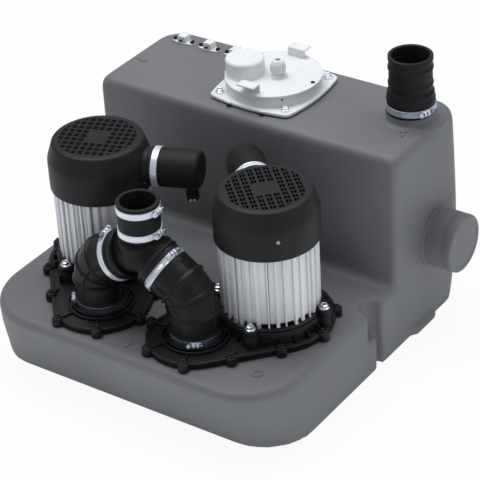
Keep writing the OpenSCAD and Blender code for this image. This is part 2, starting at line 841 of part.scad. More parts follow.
module plate_gaskets() {
  color("black") for (u = [0:1]) at_pump(u) difference() {
    translate([0, 0, deck_h]) linear_extrude(gasket_t) plate_outline(1);
    translate([0, 0, deck_h - 1])
      linear_extrude(gasket_t + 2) polygon(egg_pts(casing_r + 5, casing_port_r + 5, port_dist));
    plate_boss_places(deck_h - 1) cylinder(r = plate_screw_r + 0.2, h = gasket_t + 2);
  }
}

module motor_bolt_places(z) {
  for (k = [0:3]) rotate([0, 0, 45 + 90 * k]) translate([bolt_circle_r, 0, z]) children();
}

module casing_screw_places(z) {
  for (k = [0:2]) rotate([0, 0, 60 + 120 * k]) translate([casing_r - 11, 0, z]) children();
}

module rib_between(r1, r2, w, h) {
  translate([r1, -w / 2, 0]) cube([r2 - r1, w, h]);
}

// A round-topped lug that holds one end of the flap's pin
module flap_lug(s) {
  half = 2.7;
  translate([-flap_hinge - half, s * 8 - 1.5, spigot_top - 1])
    cube([2 * half, 3, flap_pin_z - spigot_top + 1]);
  translate([-flap_hinge, s * 8 + 1.5, flap_pin_z]) rotate([90, 0, 0]) cylinder(r = half + 0.3, h = 3);
}

module base_plate(u) {
  fork = fork_angle(u) - long_angle(u);
  color("#1c1c1e") at_pump(u) difference() {
    union() {
      translate([0, 0, plate_z]) linear_extrude(plate_t) plate_outline(0);
      plate_boss_places(plate_top - 1) cylinder(r = boss_r - 0.6, h = boss_top - plate_top + 1);
      translate([0, 0, plate_top - 1]) ring(seat_r, seat_r - 6, seat_h + 1);
      translate([0, 0, plate_top - 1]) cylinder(r = 25, h = seat_h - 1);
      motor_bolt_places(plate_top - 1) cylinder(r = 11, h = seat_h + 1);
      translate([port_dist, 0, plate_top - 1]) cylinder(r = port_tube_r, h = spigot_top - plate_top + 1);
      translate([port_dist, 0, plate_top - 1]) ring(56, 52, 4);
      for (a = [-100:25:100]) translate([port_dist, 0, plate_top - 1]) rotate([0, 0, a])
        rib_between(elbow_r + 1.5, abs(a) > 80 ? 53 : 68, 3, 3.5);
      translate([port_dist, 0, 0]) rotate([0, 0, fork]) for (s = [-1, 1]) flap_lug(s);
    }
    translate([0, 0, plate_z - 1]) cylinder(r = 12, h = 40);
    translate([0, 0, plate_top + 1]) cylinder(r = 15, h = 40);
    translate([port_dist, 0, plate_z - 1]) cylinder(r = port_bore_r, h = 60);
    translate([port_dist, 0, plate_z - 1]) cylinder(r = port_bore_r + 6, h = spigot_top - plate_z - 3);
    plate_boss_places(plate_z - 1) cylinder(r = plate_screw_r + 0.2, h = 40);
    casing_screw_places(plate_z - 1) cylinder(r = 2.8, h = 20);
    motor_bolt_places(plate_top + 2) cylinder(r = motor_bolt_r + 0.1, h = 40);
    translate([port_dist, 0, 0]) rotate([0, 0, fork])
      translate([-flap_hinge, 15, flap_pin_z]) rotate([90, 0, 0]) cylinder(r = flap_pin_r, h = 30);
  }
}

module plate_screws() {
  color("#111112") for (u = [0:1]) at_pump(u) plate_boss_places(boss_top) {
    cylinder(r = 5, h = 1.5);
    translate([0, 0, 1.5]) cylinder(r1 = 5, r2 = 3, h = 2);
    translate([0, 0, -20]) cylinder(r = plate_screw_r, h = 21);
  }
}

module pump_casing(u) {
  color("#1c1c1e") at_pump(u) difference() {
    union() {
      translate([0, 0, casing_z])
        linear_extrude(casing_depth) polygon(egg_pts(casing_r, casing_port_r, port_dist));
      translate([0, 0, casing_z - 8]) cylinder(r = suction_r + 5, h = 10);
    }
    difference() {
      translate([0, 0, casing_z + casing_wall]) linear_extrude(casing_depth)
        polygon(egg_pts(casing_r - casing_wall, casing_port_r - casing_wall, port_dist));
      casing_screw_places(casing_z) cylinder(r = 6, h = casing_depth);
    }
    translate([0, 0, casing_z - 10]) cylinder(r = suction_r, h = 20);
    casing_screw_places(plate_z - 20) cylinder(r = 2.45 + run, h = 30);
  }
}

module casing_screws() {
  color("silver") for (u = [0:1]) at_pump(u) casing_screw_places(plate_top) {
    cylinder(r = 5, h = 3.5);
    translate([0, 0, -18]) cylinder(r = 2.45, h = 19);
  }
}

// Motor

module bearing_bracket(u) {
  color("#1c1c1e") at_pump(u) difference() {
    union() {
      translate([0, 0, seat_top]) cylinder(r = seat_r, h = bracket_t);
      motor_bolt_places(seat_top) cylinder(r = 11, h = bracket_t);
      translate([0, 0, motor_z - 1]) cylinder(r = 27, h = 7);
    }
    translate([0, 0, seat_top - 1]) cylinder(r = 12, h = 40);
    translate([0, 0, bearing_low_z]) cylinder(r = bearing_low_r, h = 40);
    motor_bolt_places(seat_top - 1) cylinder(r = motor_bolt_r + 0.3, h = 20);
  }
}

module motor_bolts() {
  color("silver") for (u = [0:1]) at_pump(u) motor_bolt_places(motor_z)
    flange_screw(motor_bolt_r, bracket_t + seat_h - 3);
}

function fin_lift(i) = (i * 7) % 5;

// The fan cover's screws stand a quarter turn apart, the first one at 314 degrees seen from above
function cover_screw_angle(u) = 314 - (u == 0 ? 360 - pump_turn : 180 + pump_turn);

module cover_screw_places(u, r) {
  for (k = [0:3]) rotate([0, 0, cover_screw_angle(u) + 90 * k])
    translate([r, 0, cover_bottom + 14]) rotate([0, 90, 0]) children();
}

module motor_body(u) {
  color("gainsboro") at_pump(u) difference() {
    union() {
      translate([0, 0, motor_z]) cylinder(r = tube_r, h = motor_end_z + motor_end_t - motor_z);
      for (i = [0:fin_count - 1]) rotate([0, 0, i * 360 / fin_count])
        translate([tube_r - 1, -fin_t / 2, motor_z + 3 + 2 * fin_lift(i)])
          cube([fin_r - tube_r + 1, fin_t, cover_bottom + 4 - motor_z - 3 - 2 * fin_lift(i)]);
      for (k = [0:3]) rotate([0, 0, cover_screw_angle(u) + 90 * k])
        translate([tube_r - 8, -6, motor_end_z]) cube([fin_r + 0.3 - tube_r + 8, 12, 20]);
    }
    translate([0, 0, motor_z - 1]) cylinder(r = tube_bore_r, h = motor_end_z - motor_z + 1);
    translate([0, 0, motor_end_z - 1]) cylinder(r = bearing_top_r - 3, h = 20);
    translate([0, 0, bearing_top_z]) cylinder(r = bearing_top_r, h = 20);
    cover_screw_places(u, 50) cylinder(r = 1.8, h = 30);
  }
}

module stator(u) {
  turns_h = 14;
  at_pump(u) {
    color("slategray") translate([0, 0, core_z]) ring(tube_bore_r - run, rotor_r + air_gap, core_len);
    color("#b36a33") for (z = [core_z - turns_h - run, core_z + core_len + run]) translate([0, 0, z])
      ring(tube_bore_r - 6, rotor_r + 5, turns_h);
  }
}

module bearings() {
  color("silver") for (u = [0:1]) at_pump(u) {
    translate([0, 0, bearing_low_z]) ring(bearing_low_r - 0.02, shaft_r + 0.5, bearing_h);
    translate([0, 0, bearing_top_z]) ring(bearing_top_r - 0.02, shaft_top_r + run, bearing_top_h);
  }
}

module shaft_seals() {
  color("#303032") for (u = [0:1]) at_pump(u)
    translate([0, 0, plate_top + 1]) ring(15 - 0.02, shaft_r + run, 11);
}

module shaft(u) {
  color("silver") at_pump(u) rotate_extrude() polygon([
    [0, shaft_low_z], [shaft_r, shaft_low_z], [shaft_r, bearing_low_z - 0.5],
    [shaft_r + 0.45, bearing_low_z - 0.5], [shaft_r + 0.45, core_z - 15], [shaft_mid_r, core_z - 15],
    [shaft_mid_r, core_z + core_len + 15], [shaft_top_r, core_z + core_len + 15],
    [shaft_top_r, shaft_top_z - 1], [shaft_top_r - 1, shaft_top_z], [0, shaft_top_z]]);
}

module rotor_core(u) {
  color("gray") at_pump(u) translate([0, 0, core_z]) ring(rotor_r, shaft_mid_r, core_len);
}

module impeller(u) {
  vane_h = 20;
  color("#2c5f7c") at_pump(u) {
    translate([0, 0, impeller_z]) difference() {
      union() {
        cylinder(r = 15, h = vane_h + 5);
        translate([0, 0, vane_h]) cylinder(r = impeller_r, h = 5);
        for (k = [0:vane_count - 1]) rotate([0, 0, k * 360 / vane_count])
          translate([12, 0, 0]) rotate([0, 0, 20]) cube([impeller_r - 16, 4, vane_h + 1]);
      }
      translate([0, 0, -1]) cylinder(r = shaft_r, h = 40);
    }
    translate([0, 0, impeller_z - 7]) ring(13, shaft_r, 7);
  }
}

module fan(u) {
  color("#303032") at_pump(u) translate([0, 0, fan_z]) difference() {
    union() {
      cylinder(r = 14, h = fan_h - 2);
      cylinder(r = fan_r, h = 2);
      for (k = [0:blade_count - 1]) rotate([0, 0, k * 360 / blade_count])
        rib_between(12, fan_r - 1, 2.4, fan_h - 4);
    }
    translate([0, 0, -1]) cylinder(r = shaft_top_r, h = 40);
  }
}

module grille_holes() {
  reach = ceil(grille_r / min(hole_pitch_along, hole_pitch_across));
  for (i = [-reach:reach], j = [-reach:reach]) {
    place = [i * hole_pitch_along, j * hole_pitch_across];
    if ((abs(i) > 1 || abs(j) > 1) && norm(place) < grille_r - 5)
      translate(place) square([hole_along, hole_across], center = true);
  }
}

module fan_cover(u) {
  inner_r = cover_r - cover_wall;
  color("#1c1c1e") difference() {
    union() {
      at_pump(u) rotate_extrude() polygon([[0, cover_bottom], [cover_r, cover_bottom],
        [cover_r, cover_top_z - cover_shoulder], [cover_top_r, cover_top_z], [0, cover_top_z]]);
      at_housing(u) translate([0, 0, inner_r - 4]) cylinder(r = boot_inner_r, h = housing_end - inner_r + 4);
    }
    at_pump(u) {
      translate([0, 0, cover_bottom - 1]) cylinder(r = inner_r, h = cover_h + 1 - cover_shoulder);
      translate([0, 0, cover_bottom]) cylinder(r = cover_top_r - cover_wall, h = cover_h - cover_wall);
      rotate([0, 0, housing_angle(u)]) translate([0, 0, cover_top_z - 10]) linear_extrude(20) grille_holes();
      cover_screw_places(u, cover_r - 10) cylinder(r = 1.8, h = 20);
    }
    at_housing(u) cylinder(r = boot_inner_r - 3, h = 110);
  }
}

module fan_cover_screws() {
  color("silver") for (u = [0:1]) at_pump(u) cover_screw_places(u, cover_r) {
    cylinder(r = 3.2, h = 1.4);
    translate([0, 0, -12]) cylinder(r = 1.75, h = 13);
  }
}

// Cable housings on the fan covers

module terminal_blocks() {
  color("ivory") for (u = [0:1]) at_housing(u) translate([0, 0, terminal_at]) {
    cylinder(r = boot_inner_r - 1.1, h = terminal_base_t);
    translate([-terminal_w / 2, -terminal_l / 2, terminal_base_t]) cube([terminal_w, terminal_l, terminal_h]);
  }
}

module cable_boot(u) {
  color("#19191a") difference() {
    union() {
      at_housing(u) rotate_extrude() polygon(concat([[0, boot_start], [boot_r, boot_start]],
        arc_pts(boot_r - boot_round_r, boot_end - boot_round_r, boot_round_r, 0, 90, 6), [[0, boot_end]]));
      at_pump(u) rotate([0, 0, housing_angle(u)]) translate([boot_drop, 0, housing_z - boot_r - 14])
        cylinder(r = 9, h = 20);
    }
    at_housing(u) translate([0, 0, boot_start - 8])
      cylinder(r = boot_inner_r + run, h = housing_end - boot_start + 8.5);
    at_housing(u) translate([0, 0, housing_end - 8])
      cylinder(r = boot_inner_r - 1, h = boot_end - housing_end + 4);
    at_pump(u) rotate([0, 0, housing_angle(u)]) translate([boot_drop, 0, housing_z - boot_r - 20])
      cylinder(r = 5, h = 30);
  }
}

module boot_clamps() {
  for (u = [0:1]) at_housing(u) translate([0, 0, boot_clamp_at]) rotate([0, 0, u == 0 ? 215 : 145])
    hose_clamp(boot_r + 0.05);
}

module boot_glands() {
  color("#19191a") for (u = [0:1]) at_pump(u) rotate([0, 0, housing_angle(u)])
    translate([boot_drop, 0, housing_z - boot_r - 24]) difference() {
      union() {
        cylinder(r = 10.5, h = 10);
        translate([0, 0, 9]) cylinder(r = 4.9, h = 10);
      }
      translate([0, 0, -1]) cylinder(r = 3.5, h = 30);
    }
}

tank();
inspection_cover();
cover_gasket();
cover_screws();
cover_clips();
vent_cap();
cover_gland();
cover_plugs();
pressure_switches();
dip_tubes();
cable_clamp_plates();
cable_clamp_blocks();
cable_clamp_screws();
inlet_sleeve();
inlet_clamp();
y_piece();
outlet_sleeve();
sleeve_clamps();
elbow(0);  // elbow_1
elbow(1);  // elbow_2
elbow_clamps();
flap(0);  // flap_1
flap(1);  // flap_2
flap_pins();
plate_gaskets();
base_plate(0);  // base_plate_1
base_plate(1);  // base_plate_2
plate_screws();
pump_casing(0);  // pump_casing_1
pump_casing(1);  // pump_casing_2
casing_screws();
bearing_bracket(0);  // bearing_bracket_1
bearing_bracket(1);  // bearing_bracket_2
motor_bolts();
motor_body(0);  // motor_body_1
motor_body(1);  // motor_body_2
stator(0);  // stator_1
stator(1);  // stator_2
bearings();
shaft_seals();
shaft(0);  // shaft_1
shaft(1);  // shaft_2
rotor_core(0);  // rotor_core_1
rotor_core(1);  // rotor_core_2
impeller(0);  // impeller_1
impeller(1);  // impeller_2
fan(0);  // fan_1
fan(1);  // fan_2
fan_cover(0);  // fan_cover_1
fan_cover(1);  // fan_cover_2
fan_cover_screws();
terminal_blocks();
cable_boot(0);  // cable_boot_1
cable_boot(1);  // cable_boot_2
boot_clamps();
boot_glands();
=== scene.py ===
# %% [markdown]
# # A grey water lifting station
# A station like this stands in a cellar and pumps waste water up to the sewer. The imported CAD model
# holds its solids in their places, and each step here dresses some of them in a finer mesh and a finish.
# Shapes are drawn in millimetres, and `piece` turns them into metres.

# %% Load the frame
import json
import math
import random

import bmesh
import bpy
from mathutils import Euler, Matrix, Vector


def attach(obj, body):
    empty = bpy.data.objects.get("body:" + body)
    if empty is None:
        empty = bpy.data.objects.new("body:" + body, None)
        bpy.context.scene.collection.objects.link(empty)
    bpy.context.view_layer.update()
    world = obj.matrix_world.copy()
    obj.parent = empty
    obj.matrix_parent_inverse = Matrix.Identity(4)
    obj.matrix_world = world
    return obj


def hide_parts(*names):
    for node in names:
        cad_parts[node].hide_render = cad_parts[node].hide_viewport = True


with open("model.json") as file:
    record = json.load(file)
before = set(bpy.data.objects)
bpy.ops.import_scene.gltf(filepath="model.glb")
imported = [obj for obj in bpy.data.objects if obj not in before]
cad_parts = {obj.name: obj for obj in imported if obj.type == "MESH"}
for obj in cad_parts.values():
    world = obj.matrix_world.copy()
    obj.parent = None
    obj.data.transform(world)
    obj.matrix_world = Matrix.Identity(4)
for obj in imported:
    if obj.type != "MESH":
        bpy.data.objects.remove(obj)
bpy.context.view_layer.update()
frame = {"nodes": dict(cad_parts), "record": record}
MM = 0.001

# %% [markdown]
# ## Camera
# A camera can be placed by eye, but a fit to edges and circles measured in the photograph places it
# better: a long lens, from the right and above, rolled a little. Three axes as vectors hold the roll
# without any order of turns.

# %% Camera
AZIMUTH = math.radians(36.3375)
ELEVATION = math.radians(32.2981)
ROLL = math.radians(-3.5151)
LOOK_AT = Vector((0.04616, -0.0135, 0.17411))
DISTANCE = 3.06859
LENS_PIXELS = 2091.70
PICTURE_PIXELS = 480
SENSOR_MM = 36

flat = math.cos(ELEVATION)
back = Vector((math.sin(AZIMUTH) * flat, -math.cos(AZIMUTH) * flat, math.sin(ELEVATION)))
level = Vector((math.cos(AZIMUTH), math.sin(AZIMUTH), 0))
upward = back.cross(level)
right = level * math.cos(ROLL) + upward * math.sin(ROLL)
up = upward * math.cos(ROLL) - level * math.sin(ROLL)
camera_data = bpy.data.cameras.new("camera")
camera_data.sensor_width = SENSOR_MM
camera_data.lens = LENS_PIXELS / PICTURE_PIXELS * SENSOR_MM
camera = bpy.data.objects.new("camera", camera_data)
camera.matrix_world = Matrix((right, up, back)).transposed().to_4x4()
camera.location = LOOK_AT + back * DISTANCE
bpy.context.scene.collection.objects.link(camera)
bpy.context.scene.camera = camera
print("camera at", [round(x, 3) for x in camera.location], "lens", round(camera_data.lens, 1))

# %% [markdown]
# ## Places and rounded lines
# Most pieces start as a line of points. A bevel could round the finished mesh, but rounding the line is
# quicker and never fails at a tight corner. `at` gives a place and a turn as one matrix, so that places
# can be chained.

# %% Places and rounded lines
FULL_TURN = 2 * math.pi


def at(x=0, y=0, z=0, rx=0, ry=0, rz=0):
    """A place in millimetres and degrees."""
    turn = Euler([math.radians(a) for a in (rx, ry, rz)], "XYZ")
    return Matrix.Translation((x, y, z)) @ turn.to_matrix().to_4x4()


def soft(points, steps=5, closed=False):
    """A line of (x, y) or (x, y, radius) points with its corners rounded."""
    line = []
    for i, point in enumerate(points):
        radius = point[2] if len(point) > 2 else 0
        loose_end = not closed and i in (0, len(points) - 1)
        if not radius or loose_end:
            line.append(tuple(point[:2]))
            continue
        here = Vector(point[:2])
        before = Vector(points[i - 1][:2]) - here
        after = Vector(points[(i + 1) % len(points)][:2]) - here
        half = before.angle(after) / 2
        cut = min(radius / math.tan(half), 0.49 * before.length, 0.49 * after.length)
        middle = (before.normalized() + after.normalized()).normalized()
        centre = here + middle * (cut / math.cos(half))
        start = here + before.normalized() * cut - centre
        end = here + after.normalized() * cut - centre
        sweep = start.angle(end)
        for k in range(steps + 1):
            t = k / steps
            spot = (start * math.sin((1 - t) * sweep) + end * math.sin(t * sweep)) / math.sin(sweep)
            line.append(tuple(centre + spot))
    return line


def circle(radius, count):
    """Points round a circle."""
    turns = [FULL_TURN * k / count for k in range(count)]
    return [(radius * math.cos(a), radius * math.sin(a)) for a in turns]


square = [(0, 0, 1), (9, 0, 1), (9, 9, 1), (0, 9, 1)]
print("a rounded square has", len(soft(square, closed=True)), "points")

# %% [markdown]
# ## Turned, raised and bridged shapes
# Four ways cover this object: turning, cutting from a plate, sawing a block, and laying a skin over
# frames. A full spin needs use_merge, or its first and last columns stay apart, and its doubles on the
# axis are merged before its normals are made.

# %% Turned, raised and bridged shapes
DOUBLE = 1e-4
LEVEL = 1e-6


def lathe(profile, steps, closed=False):
    """A line of (radius, height) points spun once round Z."""
    bm = bmesh.new()
    verts = [bm.verts.new((r, 0, z)) for r, z in profile]
    edges = [bm.edges.new(pair) for pair in zip(verts, verts[1:])]
    if closed:
        edges.append(bm.edges.new((verts[-1], verts[0])))
    bmesh.ops.spin(bm, geom=verts + edges, cent=(0, 0, 0), axis=(0, 0, 1), angle=FULL_TURN,
                   steps=steps, use_merge=True)
    bmesh.ops.remove_doubles(bm, verts=bm.verts, dist=DOUBLE)
    bmesh.ops.recalc_face_normals(bm, faces=bm.faces)
    return bm


def rod(radius, low, high, steps):
    """A plain round rod on Z."""
    return lathe([(0, low), (radius, low), (radius, high), (0, high)], steps)


def turned(points, rounding, steps, closed=False):
    """A line with rounded corners, spun round Z."""
    return lathe(soft(points, rounding, closed), steps, closed)


def round_edges(bm, edges, radius, segments):
    """Rounds some edges of a mesh."""
    bmesh.ops.bevel(bm, geom=edges, offset=radius, segments=segments, profile=0.5,
                    affect="EDGES", material=-1, clamp_overlap=True)


def prism(outline, low, high, bevel=0.0, segments=3):
    """An outline of (x, y) points raised from low to high, with its rims rounded."""
    bm = bmesh.new()
    face = bm.faces.new([bm.verts.new((x, y, low)) for x, y in outline])
    grown = bmesh.ops.extrude_face_region(bm, geom=[face])["geom"]
    raised = [g for g in grown if isinstance(g, bmesh.types.BMVert)]
    bmesh.ops.translate(bm, verts=raised, vec=(0, 0, high - low))
    bmesh.ops.recalc_face_normals(bm, faces=bm.faces)
    if bevel:
        rims = [e for e in bm.edges if abs(e.verts[0].co.z - e.verts[1].co.z) < LEVEL]
        round_edges(bm, rims, bevel, segments)
    return bm


def block(size, bevel=1.0, segments=3):
    """A box round the origin with rounded edges."""
    bm = bmesh.new()
    bmesh.ops.create_cube(bm, size=1)
    bmesh.ops.scale(bm, vec=size, verts=bm.verts)
    if bevel:
        round_edges(bm, bm.edges[:], bevel, segments)
    return bm


def loft(rings):
    """Closed rings of points, one after the other, joined into one closed skin."""
    bm = bmesh.new()
    loops = []
    for ring in rings:
        verts = [bm.verts.new(p) for p in ring]
        loops.append([bm.edges.new((verts[i - 1], v)) for i, v in enumerate(verts)])
    for low, high in zip(loops, loops[1:]):
        bmesh.ops.bridge_loops(bm, edges=low + high)
    for loop in (loops[0], loops[-1]):
        bmesh.ops.contextual_create(bm, geom=loop)
    bmesh.ops.recalc_face_normals(bm, faces=bm.faces)
    return bm


sample = block((10, 10, 10))
print("a rounded block has", len(sample.faces), "faces")
sample.free()

# %% [markdown]
# ## Joining, cutting and melting
# A moulding with many bosses could be one great mesh, but parts made alone and left to overlap look the
# same and are quicker. The exact Boolean cuts real holes, and a voxel skin melts together parts that
# flow into each other.

# %% Joining, cutting and melting
def put(whole, part, place=Matrix(), slot=0):
    """Adds a part to a piece at a place. The slot picks one of the piece's materials."""
    for face in part.faces:
        face.material_index = slot
    part.transform(place)
    mesh = bpy.data.meshes.new("part")
    part.to_mesh(mesh)
    part.free()
    whole.from_mesh(mesh)
    bpy.data.meshes.remove(mesh)
    return whole


def placed(part, place=Matrix()):
    """A part alone, moved to its place."""
    return put(bmesh.new(), part, place)


def carve(part, cutter, operation="DIFFERENCE"):
    """The part with the cutter taken away, as a new bmesh."""
    pair = []
    for bm in (part, cutter):
        mesh = bpy.data.meshes.new("carve")
        bm.to_mesh(mesh)
        bm.free()
        obj = bpy.data.objects.new("carve", mesh)
        bpy.context.scene.collection.objects.link(obj)
        pair.append(obj)
    modifier = pair[0].modifiers.new("carve", "BOOLEAN")
    modifier.operation = operation
    modifier.object = pair[1]
    modifier.solver = "EXACT"
    shaped = pair[0].evaluated_get(bpy.context.evaluated_depsgraph_get())
    result = bmesh.new()
    result.from_mesh(shaped.to_mesh())
    for obj in pair:
        mesh = obj.data
        bpy.data.objects.remove(obj)
        bpy.data.meshes.remove(mesh)
    return result


def melt(obj, voxel, passes):
    """Melts a piece's overlapping parts into one skin and softens it."""
    remesh = obj.modifiers.new("skin", "REMESH")
    remesh.mode = "VOXEL"
    remesh.voxel_size = voxel
    remesh.use_smooth_shade = True
    relax = obj.modifiers.new("soften", "SMOOTH")
    relax.factor = 0.5
    relax.iterations = passes


# %% [markdown]
# ## Finishing a piece
# Every piece ends the same way, so one tool does it. The mesh goes to metres and shades smooth, except
# at sharp edges. Its object stays at the origin, so that a grain in object space lies still. All pieces
# ride on the station, because what turns or swings is inside it.

# %% Finishing a piece
def piece(name, bm, materials, nodes, sharp=34):
    """Turns a bmesh in millimetres into a finished piece that stands for some CAD nodes."""
    bm.transform(Matrix.Scale(MM, 4))
    mesh = bpy.data.meshes.new(name)
    bm.to_mesh(mesh)
    bm.free()
    for face in mesh.polygons:
        face.use_smooth = True
    mesh.set_sharp_from_angle(angle=math.radians(sharp))
    for finish in materials:
        mesh.materials.append(finish)
    obj = bpy.data.objects.new(name, mesh)
    bpy.context.scene.collection.objects.link(obj)
    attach(obj, "station")
    if nodes:
        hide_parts(*nodes)
    print(f"{name}: {len(mesh.polygons)} faces")
    return obj


def pump_piece(u, node, bm, finish, sharp=34):
    """The finished piece for a node that each pump has one of."""
    return piece(f"{node}_skin_{u + 1}", bm, [finish], [f"{node}_{u + 1}"], sharp)


# %% [markdown]
# ## Places on the station
# These are the named values of the part's source, so that a boss here sits on the solid's boss. Two
# pumps hang under the deck, 0 on the left and 1 on the right, and each function gives the place of one
# thing on a pump.

# %% Places on the station
PUMP_X = 146.7
PUMP_Y = -84.5
PUMP_TURN = 58
PORT_DIST = 118
PORT_X = PUMP_X - PORT_DIST * math.cos(math.radians(PUMP_TURN))
PORT_Y = PUMP_Y - PORT_DIST * math.sin(math.radians(PUMP_TURN))
DECK_Z = 112
PLATE_Z = 114
PLATE_TOP = 122
MOTOR_Z = 147
COVER_LOW = 256
COVER_TOP = 330
HOUSING_Z = 289
HOUSING_TURN = (78, 258)
ELBOW_R = 36.5
ELBOW_FOOT = 43.1
ELBOW_CUFF = 44.6
BEND_R = 45
BEND_A = 60
BEND_Z = PLATE_TOP + 1 + ELBOW_FOOT
FORK_Z = 240.67
CORNER_DIST = 81
SIDES = (0, 1)


def pump(u):
    """The axis of a pump, with X towards its port."""
    return at((-PUMP_X, PUMP_X)[u], PUMP_Y, 0, rz=(-PUMP_TURN, 180 + PUMP_TURN)[u])


def corner(k):
    """One of the four corners round a pump's axis, where its bolts stand."""
    return at(rz=45 + 90 * k) @ at(CORNER_DIST)


def port(u):
    """The axis of a pump's outlet port, with X towards the middle."""
    return at((-PORT_X, PORT_X)[u], PORT_Y, 0, rz=(0, 180)[u])


def bend(u, angle):
    """A place on the elbow's arc."""
    a = math.radians(angle)
    return port(u) @ at(BEND_R * (1 - math.cos(a)), 0, BEND_Z + BEND_R * math.sin(a), ry=angle)


def beside_cover(u):
    """A pump's axis, with X along its cable housing."""
    return pump(u) @ at(rz=HOUSING_TURN[u])


def housing(u):
    """The axis of a pump's cable housing, as Z."""
    return beside_cover(u) @ at(0, 0, HOUSING_Z, ry=90)


print("ports at", round(PORT_X, 2), round(PORT_Y, 2))

# %% [markdown]
# ## Materials
# Plastic, rubber, cast metal and plating differ in colour, gloss and grain, and none is even. So each
# finish is noise in object space: a broad one mottles the colour, and a fine one varies the roughness
# and lifts a bump as small as the real grain.

# %% Materials
def dial(node, settings):
    """Sets a node's inputs by name."""
    for name, value in settings.items():
        node.inputs[name].default_value = value


def material(name, colour, rough, metal=0.0, grain=900.0, bump=0.04, blotch=14.0, vary=0.12,
             stretch=(1, 1, 1), specular=0.5):
    """A finish with mottled colour, uneven roughness and a fine grain."""
    made = bpy.data.materials.new(name)
    made.use_nodes = True
    nodes = made.node_tree.nodes
    links = made.node_tree.links
    shader = nodes["Principled BSDF"]
    dial(shader, {"Metallic": metal, "Specular IOR Level": specular})
    coords = nodes.new("ShaderNodeTexCoord")
    mapping = nodes.new("ShaderNodeMapping")
    dial(mapping, {"Scale": stretch})
    links.new(coords.outputs["Object"], mapping.inputs["Vector"])
    broad = nodes.new("ShaderNodeTexNoise")
    fine = nodes.new("ShaderNodeTexNoise")
    for noise, scale, detail in ((broad, blotch, 6), (fine, grain, 3)):
        dial(noise, {"Scale": scale, "Detail": detail})
        links.new(mapping.outputs["Vector"], noise.inputs["Vector"])
    ramp = nodes.new("ShaderNodeValToRGB")
    dark, pale = ramp.color_ramp.elements
    dark.position = 0.3
    dark.color = [c * (1 - vary) for c in colour] + [1]
    pale.position = 0.7
    pale.color = [min(1, c * (1 + vary)) for c in colour] + [1]
    links.new(broad.outputs["Fac"], ramp.inputs["Fac"])
    links.new(ramp.outputs["Color"], shader.inputs["Base Color"])
    spread = nodes.new("ShaderNodeMapRange")
    dial(spread, {"To Min": max(0.02, rough - 0.07), "To Max": min(1, rough + 0.07)})
    links.new(fine.outputs["Fac"], spread.inputs["Value"])
    links.new(spread.outputs["Result"], shader.inputs["Roughness"])
    relief = nodes.new("ShaderNodeBump")
    dial(relief, {"Strength": bump, "Distance": 0.0004})
    links.new(fine.outputs["Fac"], relief.inputs["Height"])
    links.new(relief.outputs["Normal"], shader.inputs["Normal"])
    return made


# %% Plastics and rubber
GREY = material("grey_polyethylene", (0.147, 0.151, 0.158), 0.56, grain=700, bump=0.10, blotch=9,
                vary=0.06, specular=0.35)
WHITE = material("white_plastic", (0.715, 0.73, 0.745), 0.36, grain=500, bump=0.03, vary=0.02,
                 specular=0.4)
BLACK = material("black_plastic", (0.0104, 0.0104, 0.0111), 0.42, bump=0.07, vary=0.2, specular=0.24)
COVER = material("cover_plastic", (0.0150, 0.0152, 0.0165), 0.46, grain=1300, bump=0.10, specular=0.20)
PIPE = material("pipe_plastic", (0.0088, 0.0088, 0.0094), 0.40, grain=600, bump=0.08, vary=0.2,
                specular=0.24)
# The fork's black is darker than the pipes' black, to take light off its upward faces: painted shade.
FORK_PAINTED_SHADE = material("fork_plastic_painted_shade", (0.0060, 0.0060, 0.0065), 0.44, grain=600, bump=0.08, vary=0.2,
                specular=0.2)
RUBBER = material("black_rubber", (0.0100, 0.0100, 0.0108), 0.55, grain=1100, bump=0.08, vary=0.2,
                  specular=0.2)
BLUE = material("impeller_plastic", (0.014, 0.065, 0.11), 0.38, grain=400, bump=0.05, vary=0.15)
print(len(bpy.data.materials), "materials")

# %% [markdown]
# Zinc plating takes its tone from what it reflects, and the clamps face many ways. One finish would
# leave some too dark and some too bright, so the plating comes in five close kinds. Two of them are
# the same zinc painted darker, as painted shade and a painted reflection of the dark parts round it.

# %% Metals
ZINC = material("zinc_plated_steel", (0.80, 0.83, 0.92), 0.30, metal=0.55, grain=160, bump=0.012,
                vary=0.03)
BRIGHT_ZINC = material("bright_zinc", (0.80, 0.83, 0.90), 0.22, metal=1, grain=160, bump=0.012, vary=0.03)
# The next two are the plating's colour painted darker: painted shade and painted reflection.
DARKENED_ZINC = material("zinc_painted_shade", (0.52, 0.56, 0.66), 0.36, metal=0.8, grain=160, bump=0.008, vary=0.04)
SHADED_ZINC = material("shaded_zinc", (0.24, 0.27, 0.35), 0.30, metal=0.9, grain=160, bump=0.008,
                       vary=0.04)
BAND = material("polished_band", (0.82, 0.85, 0.93), 0.30, metal=0.7, grain=160, bump=0.008, vary=0.03)
STEEL = material("stainless_steel", (0.55, 0.55, 0.56), 0.28, metal=1, grain=300, bump=0.03, vary=0.06)
DARK_STEEL = material("black_steel", (0.010, 0.010, 0.011), 0.34, grain=500, bump=0.05, vary=0.2,
                      specular=0.35)
ALUMINIUM = material("cast_aluminium", (0.69, 0.70, 0.715), 0.46, metal=0.2, grain=420, bump=0.08,
                     blotch=26, vary=0.08, stretch=(1, 1, 0.12))
COPPER = material("wound_stator", (0.30, 0.13, 0.055), 0.42, metal=0.6, grain=300, bump=0.2, vary=0.25)
IRON = material("rotor_iron", (0.22, 0.225, 0.23), 0.38, metal=1, grain=300, bump=0.1)
print(len(bpy.data.materials), "materials")

# %% [markdown]
# The CAD nodes get the same finishes, also those inside. Each node's row in the record names a material
# slot, so one table from slots to finishes dresses them all.

